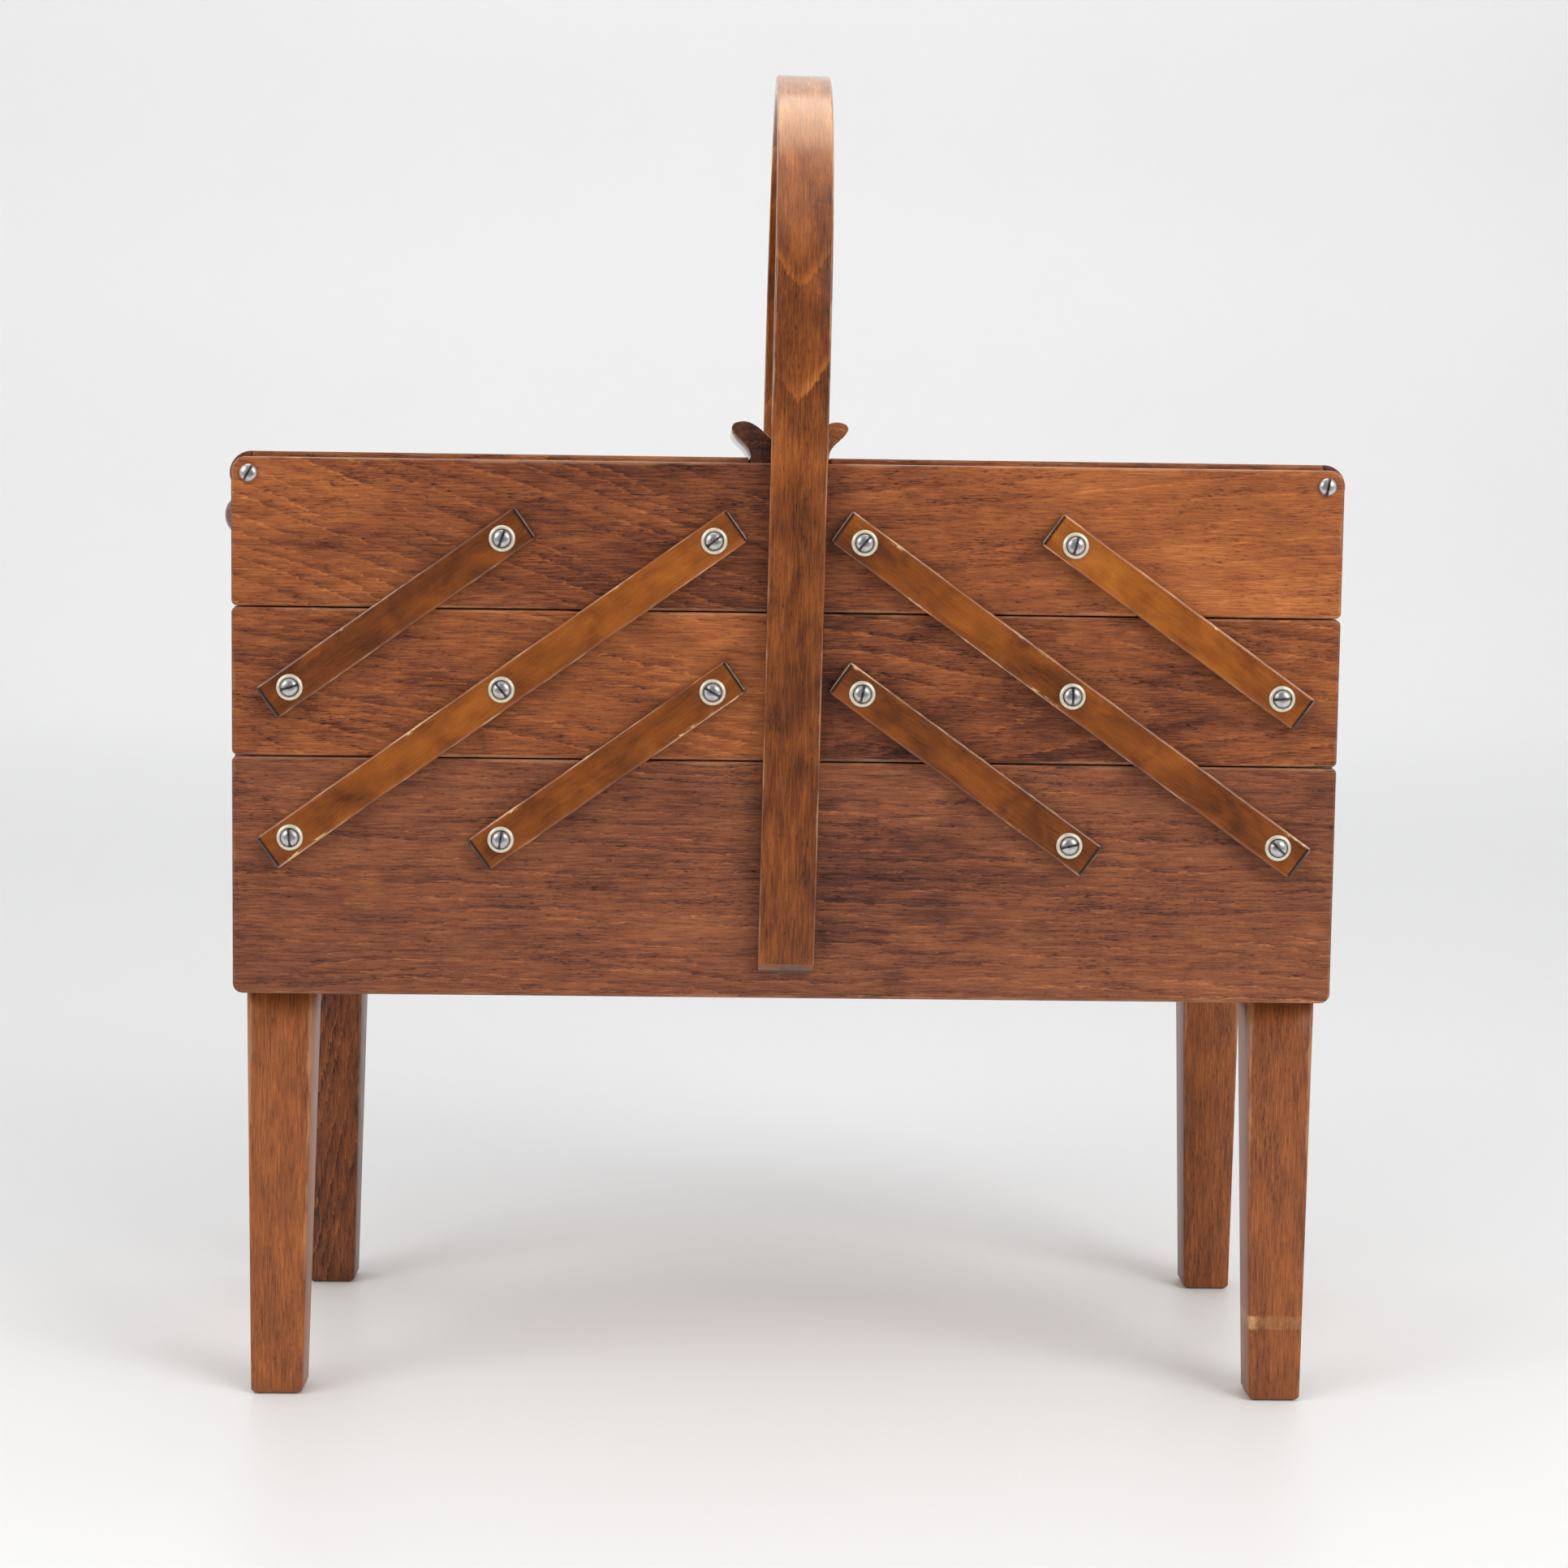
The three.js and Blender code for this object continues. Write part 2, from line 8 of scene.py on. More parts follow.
import json
import math

import bmesh
import bpy
import numpy as np
from mathutils import Matrix, Vector


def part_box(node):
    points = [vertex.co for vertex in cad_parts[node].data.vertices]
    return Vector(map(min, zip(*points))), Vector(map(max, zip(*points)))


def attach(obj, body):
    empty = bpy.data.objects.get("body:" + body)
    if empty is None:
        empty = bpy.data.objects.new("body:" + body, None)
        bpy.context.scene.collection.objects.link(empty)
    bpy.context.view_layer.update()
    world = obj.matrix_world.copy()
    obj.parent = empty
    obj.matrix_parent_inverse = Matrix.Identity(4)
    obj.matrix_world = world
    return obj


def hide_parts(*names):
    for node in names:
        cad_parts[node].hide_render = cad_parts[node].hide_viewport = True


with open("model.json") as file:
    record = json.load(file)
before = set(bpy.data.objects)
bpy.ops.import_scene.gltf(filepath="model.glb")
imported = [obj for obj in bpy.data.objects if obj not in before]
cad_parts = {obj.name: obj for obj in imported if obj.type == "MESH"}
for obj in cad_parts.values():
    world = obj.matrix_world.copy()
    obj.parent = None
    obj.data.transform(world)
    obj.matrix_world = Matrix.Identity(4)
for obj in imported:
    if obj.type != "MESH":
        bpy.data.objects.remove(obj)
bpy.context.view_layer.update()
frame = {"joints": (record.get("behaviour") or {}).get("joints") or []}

# ---- dimensions shared with the frame ----------------------------------------------------------------------------
BOARD = 0.008
LIP = 0.0009
CORNER = 0.0021
BASE_LOWER_CORNER = 0.0038
LID_CORNER = 0.0055
GLUE_OVERLAP = 0.0004  # how far the end boards and the bottom reach into the boards they are glued to
FACE_GAP = 0.0004  # between a front or back board and what lies on it
LID_GAP = 0.0004  # between a closed lid and the end boards under it
SEAT_GAP = 0.00005  # under a screw's cup or head
ARM_THICKNESS = 0.0055
ARM_WIDTH = 0.0152
HOOP_WIDTH = 0.0225
HOOP_THICKNESS = 0.007
HOOP_BEVEL = 0.004
LID_NOSE = 0.0087
BATTEN_REACH = 0.014
BATTEN_DROP = 0.0074
LID_THICKNESS = 0.005
PULL_FOOT = 0.0156
LEG_TOP = 0.027
LEG_HEIGHT = 0.1685
STRAP_MARK = 0.0332 - LEG_HEIGHT / 2  # along the leg from its middle
LEG_INNER_TAPER = 0.005
LEG_OUTER_TAPER = 0.001
CUP_RADIUS = 0.0053
HEAD_RADIUS = 0.0034

base_low, base_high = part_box("base_box")
HALF_WIDTH = base_high.x
HALF_DEPTH = base_high.y
joints = {joint["name"]: joint for joint in frame["joints"]}
HANDS = (("left", -1), ("right", 1))
FACES = (("front", -1), ("back", 1))
QUARTERS = tuple(enumerate(((1, 1), (-1, 1), (-1, -1), (1, -1))))
ARMS = {"long": ("base", "middle", "top"), "upper": ("middle", "top"), "lower": ("base", "middle")}


# ---- node graphs -------------------------------------------------------------------------------------------------
def linear(red, green, blue):
    """Screen colour, 0 to 255, as the linear colour that a shader takes."""
    return tuple((c / 12.92 if c <= 0.04045 else ((c + 0.055) / 1.055) ** 2.4) for c in
                 (red / 255, green / 255, blue / 255)) + (1.0,)


class Graph:
    """Short names for the nodes of one material."""

    def __init__(self, name):
        self.material = bpy.data.materials.new(name)
        self.material.use_nodes = True
        self.tree = self.material.node_tree
        self.shader = self.tree.nodes["Principled BSDF"]

    def node(self, kind, **settings):
        made = self.tree.nodes.new(kind)
        for key, value in settings.items():
            setattr(made, key, value)
        return made

    def feed(self, socket, value):
        if isinstance(value, bpy.types.NodeSocket):
            self.tree.links.new(value, socket)
        else:
            socket.default_value = value

    def attribute(self, name, output="Vector"):
        return self.node("ShaderNodeAttribute", attribute_name=name).outputs[output]

    def math(self, operation, a, b=0.0, c=0.0, clamp=False):
        made = self.node("ShaderNodeMath", operation=operation, use_clamp=clamp)
        for socket, value in zip(made.inputs, (a, b, c)):
            self.feed(socket, value)
        return made.outputs[0]

    def times(self, a, b, clamp=False):
        return self.math("MULTIPLY", a, b, clamp=clamp)

    def times_add(self, a, b, c, clamp=False):
        return self.math("MULTIPLY_ADD", a, b, c, clamp)

    def sway(self, value, noise, amount):
        """The value plus so much of the noise, taken about the noise's middle."""
        return self.math("MULTIPLY_ADD", self.math("SUBTRACT", noise, 0.5), amount, value)

    def vector(self, operation, a, b=(0, 0, 0)):
        made = self.node("ShaderNodeVectorMath", operation=operation)
        self.feed(made.inputs[0], a)
        self.feed(made.inputs[1], b)
        return made.outputs["Value" if operation == "LENGTH" else "Vector"]

    def axes(self, vector):
        made = self.node("ShaderNodeSeparateXYZ")
        self.feed(made.inputs[0], vector)
        return made.outputs[0], made.outputs[1], made.outputs[2]

    def join(self, x, y, z):
        made = self.node("ShaderNodeCombineXYZ")
        for socket, value in zip(made.inputs, (x, y, z)):
            self.feed(socket, value)
        return made.outputs[0]

    def noise(self, where, stretch, detail=2.0, roughness=0.5, distortion=0.0):
        """Noise whose cells are 1/stretch metres long on each axis."""
        made = self.node("ShaderNodeTexNoise")
        self.feed(made.inputs["Vector"], self.vector("MULTIPLY", where, stretch))
        made.inputs["Scale"].default_value = 1.0
        made.inputs["Detail"].default_value = detail
        made.inputs["Roughness"].default_value = roughness
        made.inputs["Distortion"].default_value = distortion
        return made.outputs["Fac"]

    def step(self, value, low, high, to_low=0.0, to_high=1.0):
        made = self.node("ShaderNodeMapRange", interpolation_type="SMOOTHSTEP")
        for socket, number in zip(made.inputs, (value, low, high, to_low, to_high)):
            self.feed(socket, number)
        return made.outputs[0]

    def ramp(self, value, stops):
        made = self.node("ShaderNodeValToRGB")
        elements = made.color_ramp.elements
        while len(elements) < len(stops):
            elements.new(0.5)
        for element, (position, colour) in zip(elements, stops):
            element.position = position
            element.color = colour
        self.feed(made.inputs[0], value)
        return made.outputs["Color"]

    def mix(self, share, a, b):
        made = self.node("ShaderNodeMix", data_type="RGBA")
        self.feed(made.inputs[0], share)
        self.feed(made.inputs[6], a)
        self.feed(made.inputs[7], b)
        return made.outputs[2]

    def bump(self, height, distance, strength=1.0):
        made = self.node("ShaderNodeBump")
        made.inputs["Strength"].default_value = strength
        made.inputs["Distance"].default_value = distance
        self.feed(made.inputs["Height"], height)
        return made.outputs["Normal"]

    def finish(self, colour, roughness, normal=None, **constants):
        self.feed(self.shader.inputs["Base Color"], colour)
        self.feed(self.shader.inputs["Roughness"], roughness)
        if normal is not None:
            self.feed(self.shader.inputs["Normal"], normal)
        for key, value in constants.items():
            self.shader.inputs[key.replace("_", " ")].default_value = value
        return self.material


# ---- materials ---------------------------------------------------------------------------------------------------
TONE_STOPS = (0.05, 0.30, 0.52, 0.74, 0.98)
BARE_WOOD = (218, 178, 116)
RUBBED_WOOD = (214, 168, 118)
# colour of the screws' grime and painted shade in their slots, grooves and at their feet
GRIME_AND_SHADE = (52, 44, 36)
SMUDGE_PLACE = (0.046, 0.004)  # on the front of the bottom box, from its middle
SMUDGE_FALL = (17.0, 27.0)  # how fast it fades along and across the grain, per metre


def wood(name, tones, ring=1.0, fibre=1.0, fleck=1.0, blotch=1.0, edge_wear_and_highlight=0.22, edge_wear_and_highlight_width=0.0009,
         edge_wear_and_highlight_colour=(206, 160, 120), rough=0.38, coat=0.4, coat_rough=0.16, end_dark=0.0, chips=0.0, cloud=0.0,
         marks=False, smudged=False):
    """Stained, varnished beech. tones are five screen colours from the darkest fleck to the palest ridge.

    It reads the attributes that Shape.add makes: place, half, seed, figure (where the pith lies), bend (slope, spacing
    and warp of the rings) and mood (strength of the rings, painted light and shade with some real tone, strength of its
    mark).
    """
    g = Graph(name)
    place = g.attribute("place")
    seed = g.attribute("seed")
    x, y, z = g.axes(place)
    ring_x, ring_y, ring_z = g.axes(g.attribute("figure"))
    slope, spacing, warp = g.axes(g.attribute("bend"))
    ring_gain, light_and_tone, mark = g.axes(g.attribute("mood"))
    shifted = g.vector("ADD", place, seed)

    # growth rings: tilted rings round a pith line, bent by slow noise and frayed along the fibres
    slow = g.noise(shifted, (9, 26, 26), 2.0)
    quick = g.noise(shifted, (42, 120, 120), 2.0)
    fray = g.noise(shifted, (150, 1100, 1100), 2.0, 0.6)
    across = g.math("SUBTRACT", y, ring_y)
    deep = g.math("SUBTRACT", z, ring_z)
    round_pith = g.math("SQRT", g.math("ADD", g.times(across, across), g.times(deep, deep)))
    radius = g.math("ADD", round_pith, g.times(g.math("SUBTRACT", x, ring_x), slope))
    radius = g.sway(radius, slow, warp)
    radius = g.sway(radius, quick, g.times(warp, 0.16))
    radius = g.sway(radius, fray, 0.0042)
    turns = g.math("DIVIDE", radius, spacing)
    turns = g.times_add(g.noise(g.join(turns, g.axes(seed)[0], 0.0), (0.8, 3, 1), 0.0), 0.9, turns)
    phase = g.math("FRACT", turns)
    which = g.math("FLOOR", turns)
    power = g.noise(g.join(which, g.times(x, 16.0), g.times(y, 30.0)), (1, 1, 1), 1.0)
    power = g.step(power, 0.34, 0.62)
    ridge = g.times(g.step(phase, 0.84, 0.96), g.step(phase, 1.0, 0.985))
    ridge = g.times(ridge, power)
    shade = g.times(g.step(phase, 0.60, 0.0), g.step(power, 0.0, 1.0, 0.35, 1.0))
    ridge = g.times(ridge, ring_gain)
    shade = g.times(shade, ring_gain)

    # fibres, pores and stain
    long_fibre = g.noise(shifted, (24, 1250, 1250), 3.0, 0.62)
    short_fibre = g.noise(shifted, (115, 2100, 2100), 2.0, 0.6)
    pores = g.noise(shifted, (330, 2300, 2300), 1.0, 0.5)
    pore_field = g.noise(shifted, (22, 90, 90), 3.0, 0.6)
    stain = g.noise(shifted, (7, 20, 20), 3.0, 0.55)
    mottle = g.noise(shifted, (38, 95, 95), 2.0, 0.55, 0.6)
    dark_patch = g.times(g.step(pore_field, 0.46, 0.70), g.step(stain, 0.30, 0.62, 0.35, 1.0))
    density = g.times_add(shade, 0.5 * ring, g.times(dark_patch, 0.9))
    gate = g.times_add(density, -0.13, 0.66)
    flecks = g.times(g.step(g.math("SUBTRACT", pores, gate), 0.0, 0.05), fleck, clamp=True)

    tone = g.sway(0.5, long_fibre, 0.34 * fibre)
    tone = g.sway(tone, short_fibre, 0.78 * fibre)
    tone = g.sway(tone, stain, 0.60 * blotch)
    tone = g.sway(tone, mottle, 0.46 * blotch)
    tone = g.times_add(dark_patch, -0.06 * blotch, tone)
    if smudged:
        # hands have darkened the wood beside the handle
        away = g.join(g.math("SUBTRACT", x, SMUDGE_PLACE[0]), g.math("SUBTRACT", y, SMUDGE_PLACE[1]), 0.0)
        reach = g.vector("LENGTH", g.vector("MULTIPLY", away, (*SMUDGE_FALL, 0.0)))
        reach = g.sway(reach, stain, 1.6)
        reach = g.sway(reach, mottle, 1.2)
        handled = g.times(g.step(reach, 1.25, 0.25), mark)
        tone = g.times_add(handled, -0.17, tone)
    if cloud:
        tone = g.sway(tone, g.noise(shifted, (52, 78, 78), 2.0, 0.5, 0.8), cloud)
    tone = g.times_add(shade, -0.14 * ring, tone)
    tone = g.times_add(ridge, 0.23 * ring, tone)
    tone = g.times_add(flecks, -0.24, tone)
    # painted light and shade: the tone raised where more light falls, as on the right, and lowered in the shade of the
    # strap and arms, with some real difference of tone
    tone = g.math("ADD", tone, light_and_tone)

    # distance to the nearest edge of the board, and to its sawn ends
    gap_x, gap_y, gap_z = g.axes(g.vector("SUBTRACT", g.attribute("half"), g.vector("ABSOLUTE", place)))
    low = g.math("MINIMUM", gap_x, gap_y)
    high = g.math("MAXIMUM", gap_x, gap_y)
    edge = g.math("MAXIMUM", low, g.math("MINIMUM", high, gap_z))
    sawn_end = g.step(gap_x, 0.0009 + 0.0013 * end_dark, 0.0002 + 0.0010 * end_dark)
    tone = g.times_add(sawn_end, -0.20 - 0.45 * end_dark, tone)
    colour = g.ramp(tone, [(stop, linear(*shown)) for stop, shown in zip(TONE_STOPS, tones)])

    # pale lines along the arrises: partly wear where hands and the other parts rub, partly a painted highlight where
    # the rounded arris catches the light
    edge_noise = g.noise(shifted, (34, 70, 70), 3.0, 0.65)
    reach = g.times_add(g.step(edge_noise, 0.42, 0.72), 1.6 * edge_wear_and_highlight_width, edge_wear_and_highlight_width)
    edge_wear_and_highlight_line = g.step(edge, reach, g.times(reach, 0.25))
    broken = g.step(g.times_add(short_fibre, 0.5, edge_noise), 0.52, 0.86, 0.25, 1.0)
    edge_wear_and_highlight_line = g.times(g.times(edge_wear_and_highlight_line, broken), edge_wear_and_highlight, clamp=True)
    edge_wear_and_highlight_line = g.times(edge_wear_and_highlight_line, g.step(gap_x, 0.0002, 0.0015, 0.3, 1.0))
    colour = g.mix(edge_wear_and_highlight_line, colour, linear(*edge_wear_and_highlight_colour))
    if chips:
        # varnish knocked off the arrises here and there, down to the bare wood
        nick = g.times_add(g.noise(shifted, (230, 900, 900), 2.0, 0.7), 0.45, g.times(edge_noise, 0.8))
        nick = g.times(g.step(nick, 0.74, 0.80), g.step(edge, 0.0017, 0.0008))
        nick = g.times(nick, g.step(gap_x, 0.002, 0.003))
        colour = g.mix(g.times(nick, chips, clamp=True), colour, linear(*BARE_WOOD))
    if marks:
        # a strap's rub mark low on the leg, bare at its left end, with chips on the arris above and below it
        level = g.math("ABSOLUTE", g.math("SUBTRACT", x, STRAP_MARK))
        smear = g.noise(shifted, (260, 500, 900), 3.0, 0.7)
        band = g.times(g.step(level, 0.0033, 0.0022), g.step(smear, 0.30, 0.75, 0.04, 0.22))
        bare = g.times(g.step(level, 0.0034, 0.0020), g.step(y, -0.0060, -0.0102))
        bare = g.times(bare, g.step(smear, 0.30, 0.60, 0.20, 0.75))
        bare = g.times(bare, g.step(z, -0.0085, -0.0105, 0.25, 1.0))
        chipped = g.times(g.step(level, 0.0085, 0.0060), g.step(edge, 0.0009, 0.0004))
        chipped = g.times(chipped, g.step(smear, 0.46, 0.56))
        scuffed = g.times(g.math("MAXIMUM", g.math("MAXIMUM", band, bare), chipped), mark, clamp=True)
        colour = g.mix(scuffed, colour, linear(*RUBBED_WOOD))

    height = g.times_add(long_fibre, 0.5, g.times(short_fibre, 0.6))
    height = g.times_add(mottle, 0.8, height)
    relief = g.bump(height, 0.0001, 0.2)
    sheen = g.sway(rough, short_fibre, 0.16)
    sheen = g.sway(sheen, mottle, 0.14)
    sheen = g.times_add(edge_wear_and_highlight_line, 0.18, sheen, clamp=True)
    g.feed(g.shader.inputs["Coat Normal"], relief)
    return g.finish(colour, sheen, relief, Specular_IOR_Level=0.2, Coat_Weight=coat, Coat_Roughness=coat_rough,
                    Coat_IOR=1.5)


def plywood(name):
    """Matt plywood panel, pale brown, with plain rotary-cut figure."""
    g = Graph(name)
    place = g.vector("ADD", g.attribute("place"), g.attribute("seed"))
    fibre = g.noise(place, (12, 420, 420), 3.0, 0.6)
    fine = g.noise(place, (90, 1700, 1700), 2.0, 0.6)
    flow = g.noise(place, (5, 24, 24), 3.0, 0.55, 1.2)
    bands = g.math("FRACT", g.times(flow, 11.0))
    tone = g.times_add(fibre, 0.45, g.times(fine, 0.3))
    tone = g.times_add(bands, 0.16, tone)
    colour = g.ramp(tone, [(0.15, linear(112, 72, 42)), (0.45, linear(160, 112, 70)), (0.8, linear(190, 146, 100))])
    rough = g.times_add(fine, 0.2, 0.55)
    return g.finish(colour, rough, g.bump(g.math("ADD", fibre, fine), 0.00012, 0.5), Specular_IOR_Level=0.25)


def plated(name, bright, dull, rough, metallic):
    """Plated steel with turning marks, and darkening near the middle and in the hollows: tarnish and grime with painted
    shade.
    """
    g = Graph(name)
    place = g.attribute("place")
    shifted = g.vector("ADD", place, g.attribute("seed"))
    x, y, _ = g.axes(place)
    radius = g.math("SQRT", g.math("ADD", g.times(x, x), g.times(y, y)))
    turning = g.noise(g.join(radius, 0.0, 0.0), (9000, 1, 1), 2.0, 0.6)
    scratch = g.noise(shifted, (900, 5200, 900), 2.0, 0.6)
    cloud = g.noise(shifted, (420, 420, 420), 3.0, 0.6)
    # painted shade in the hollows, with some grime
    grime = g.attribute("grime", "Fac")
    dirt_and_shade = g.times(grime, g.step(cloud, 0.25, 0.7, 0.55, 1.0), clamp=True)
    colour = g.mix(g.step(cloud, 0.45, 0.75, 0.0, 0.55), linear(*bright), linear(*dull))
    colour = g.mix(dirt_and_shade, colour, linear(*GRIME_AND_SHADE))
    sheen = g.times_add(cloud, 0.16, rough)
    sheen = g.times_add(scratch, 0.12, sheen)
    sheen = g.times_add(dirt_and_shade, 0.35, sheen, clamp=True)
    height = g.times_add(turning, 0.6, scratch)
    return g.finish(colour, sheen, g.bump(height, 0.00002, 0.5), Metallic=metallic)


TRAY_TONES = ((48, 27, 22), (99, 52, 32), (135, 75, 40), (164, 95, 48), (198, 122, 66))
BASE_TONES = ((46, 27, 24), (91, 51, 37), (122, 70, 45), (147, 88, 54), (184, 114, 70))
LEG_TONES = ((52, 29, 20), (105, 58, 33), (141, 80, 42), (168, 99, 50), (198, 124, 68))
HOOP_TONES = ((46, 24, 11), (96, 47, 14), (134, 71, 22), (166, 95, 35), (214, 146, 80))
ARM_TONES = ((54, 28, 14), (94, 46, 14), (129, 67, 16), (156, 88, 24), (180, 112, 44))

tray_wood = wood("tray_wood", TRAY_TONES)
# the pulls and knobs are glossier than the boards
trim_wood = wood("trim_wood", TRAY_TONES, coat=1.0, coat_rough=0.14)
base_wood = wood("base_wood", BASE_TONES, edge_wear_and_highlight=0.20, blotch=0.85, smudged=True)
leg_wood = wood("leg_wood", LEG_TONES, ring=0.9, fleck=0.6, blotch=0.8, edge_wear_and_highlight=0.35, coat=0.12, coat_rough=0.3,
                marks=True)
hoop_wood = wood("hoop_wood", HOOP_TONES, fibre=0.75, fleck=0.8, blotch=1.3, edge_wear_and_highlight=0.45, edge_wear_and_highlight_width=0.0005,
                 rough=0.33, coat=1.0, coat_rough=0.22, end_dark=0.4)
# the arms' pale pinkish arris lines are partly wear and partly a painted highlight
arm_wood = wood("arm_wood", ARM_TONES, ring=0.15, fibre=0.35, fleck=0.25, blotch=0.7, cloud=0.65, edge_wear_and_highlight=0.8,
                edge_wear_and_highlight_width=0.0004, edge_wear_and_highlight_colour=(222, 178, 140), rough=0.30, coat=0.9, coat_rough=0.12, end_dark=1.0,
                chips=0.9)
ply = plywood("plywood")
nickel = plated("nickel_cup", (228, 220, 198), (196, 184, 154), 0.26, 0.7)
steel = plated("screw_steel", (196, 194, 194), (140, 138, 138), 0.18, 0.9)


# ---- mesh making -------------------------------------------------------------------------------------------------
class Shape:
    """Points, faces and wood attributes of a piece, which may be made of several parts."""

    def __init__(self):
        self.points, self.faces, self.flat, self.fields, self.grime = [], [], [], [], []

    def add(self, points, faces, place, matrix, half, seed, figure=(0, 0, -0.02), bend=(0.1, 0.004, 0.01),
            flat=(), grime=None, gain=1.0, light_and_tone=(0.0, 0.0), mark=0.0):
        """One part. place is each point in board axes, half the board's half size, flat the faces that stay flat."""
        first = len(self.points)
        self.points += [matrix @ Vector(p) for p in points]
        self.faces += [[first + i for i in f] for f in faces]
        self.flat += [i in flat for i in range(len(faces))]
        for p in place:
            share = min(1.0, max(0.0, 0.5 + 0.5 * p[0] / half[0]))
            mood = (gain, light_and_tone[0] + (light_and_tone[1] - light_and_tone[0]) * share, mark)
            self.fields.append((p, half, seed, figure, bend, mood))
        self.grime += grime or [0.0] * len(points)

    def build(self, name, material, body, nodes, slot):
        mesh = bpy.data.meshes.new(name)
        mesh.from_pydata([tuple(p) for p in self.points], [], self.faces)
        mesh.polygons.foreach_set("use_smooth", [not flat for flat in self.flat])
        columns = list(zip(*self.fields))
        for key, values in zip(("place", "half", "seed", "figure", "bend", "mood"), columns):
            made = mesh.attributes.new(key, "FLOAT_VECTOR", "POINT")
            made.data.foreach_set("vector", np.array(values, np.float32).ravel())
        made = mesh.attributes.new("grime", "FLOAT", "POINT")
        made.data.foreach_set("value", np.array(self.grime, np.float32))
        mesh.materials.append(material)
        mesh.validate()
        mesh.update()
        piece = bpy.data.objects.new(name, mesh)
        bpy.context.scene.collection.objects.link(piece)
        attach(piece, body)
        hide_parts(*nodes)
        return piece


def axes(x, y, z, origin):
    """Matrix that takes a part's own axes to the frame's."""
    m = Matrix((x, y, z)).transposed().to_4x4()
    m.translation = Vector(origin)
    return m


def seed_of(number):
    """A part's own offset into the noise, in metres."""
    return (0.731 * number + 0.11, 0.377 * number + 0.05, 0.193 * number)


SECTION = 16


def ring_faces(rings, count):
    """Quads between successive rings of count points each."""
    faces = []
    for ring in range(rings - 1):
        for i in range(count):
            j = (i + 1) % count
            a = ring * count
            faces.append((a + i, a + j, a + count + j, a + count + i))
    return faces


def rounded_section(half_x, half_y, radius):
    """Points round a rectangle with rounded corners, SECTION of them, anticlockwise."""
    points = []
    for quarter, (sx, sy) in QUARTERS:
        for k in range(SECTION // 4):
            angle = math.pi / 2 * (quarter + k / (SECTION // 4 - 1))
            points.append((sx * (half_x - radius) + radius * math.cos(angle),
                           sy * (half_y - radius) + radius * math.sin(angle)))
    return points


def bar_faces(rings):
    """Faces of a bar with so many sections along it. The last two faces are its ends."""
    faces = ring_faces(rings, SECTION)
    faces.append(tuple(reversed(range(SECTION))))
    faces.append(tuple(range((rings - 1) * SECTION, rings * SECTION)))
    return faces


def rounded_plate(half, corners, lip, corner_steps=4, lip_steps=3):
    """Points and faces of a plate with rounded corners and rounded arrises. Corners start at +x +y, anticlockwise."""
    def outline(inset):
        points = []
        for quarter, (sx, sy) in QUARTERS:
            radius = max(corners[quarter], lip + 0.0001)
            for k in range(corner_steps + 1):
                angle = math.pi / 2 * (quarter + k / corner_steps)
                points.append((sx * (half[0] - radius) + (radius - inset) * math.cos(angle),
                               sy * (half[1] - radius) + (radius - inset) * math.sin(angle)))
        return points

    levels = [(lip * (1 - math.sin(t)), half[2] - lip * (1 - math.cos(t)))
              for t in (math.pi / 2 * k / lip_steps for k in range(lip_steps + 1))]
    levels += [(inset, -height) for inset, height in reversed(levels)]
    points = [(px, py, height) for inset, height in levels for px, py in outline(inset)]
    count = 4 * (corner_steps + 1)
    faces = [tuple(reversed(f)) for f in ring_faces(len(levels), count)]
    faces.append(tuple(range(count)))
    faces.append(tuple(reversed(range(len(points) - count, len(points)))))
    return points, faces, {len(faces) - 2, len(faces) - 1}


def board(name, matrix, half, number, material, body, nodes, slot, corners=(0.001,) * 4, lip=LIP, figure=None,
          bend=None, gain=1.0, light_and_tone=(0.0, 0.0), mark=0.0):
    """One sawn board as a piece of its own. Its paleness at the two ends, as in Shape.add, is painted light and shade
    with some real tone.
    """
    shape = Shape()
    points, faces, flat = rounded_plate(half, corners, lip)
    draw = np.random.default_rng(number)
    if figure is None:
        figure = (draw.uniform(-0.1, 0.1), draw.uniform(-0.05, 0.05), draw.uniform(-0.03, -0.008))
    if bend is None:
        bend = (draw.uniform(-0.2, 0.2), draw.uniform(0.0032, 0.0055), draw.uniform(0.006, 0.014))
    shape.add(points, faces, points, matrix, half, seed_of(number), figure, bend, flat, gain=gain, light_and_tone=light_and_tone,
              mark=mark)
    return shape.build(name, material, body, nodes, slot)


FRONT = ((1, 0, 0), (0, 0, 1), (0, -1, 0))
BACK = ((-1, 0, 0), (0, 0, 1), (0, 1, 0))
LEFT_END = ((0, -1, 0), (0, 0, 1), (-1, 0, 0))
RIGHT_END = ((0, 1, 0), (0, 0, 1), (1, 0, 0))
LEVEL = ((1, 0, 0), (0, 1, 0), (0, 0, 1))

# Boards that face the front: where the pith lies; slope, spacing and warp of the rings; their strength; how much paler
# the left and right ends are, which is painted light and shade, paler where more light falls and darker in the shade of
# the strap and arms; and how strong its smudge is, where it has one.
FIGURES = {
    "base": ((0.0, -0.085, -0.02), (0.03, 0.0044, 0.018), 0.95, (0.04, 0.05), 1.0),
    "left_middle": ((0.0, -0.060, -0.02), (0.17, 0.0046, 0.012), 0.8, (-0.03, 0.13)),
    "right_middle": ((0.0, -0.010, -0.006), (0.13, 0.0062, 0.012), 0.9, (-0.27, 0.06)),
    "left_top": ((0.0, -0.070, -0.02), (0.32, 0.0060, 0.012), 0.8, (0.06, -0.16)),
    "right_top": ((0.0, -0.120, -0.02), (-0.10, 0.0080, 0.010), 0.45, (-0.08, 0.19)),
}


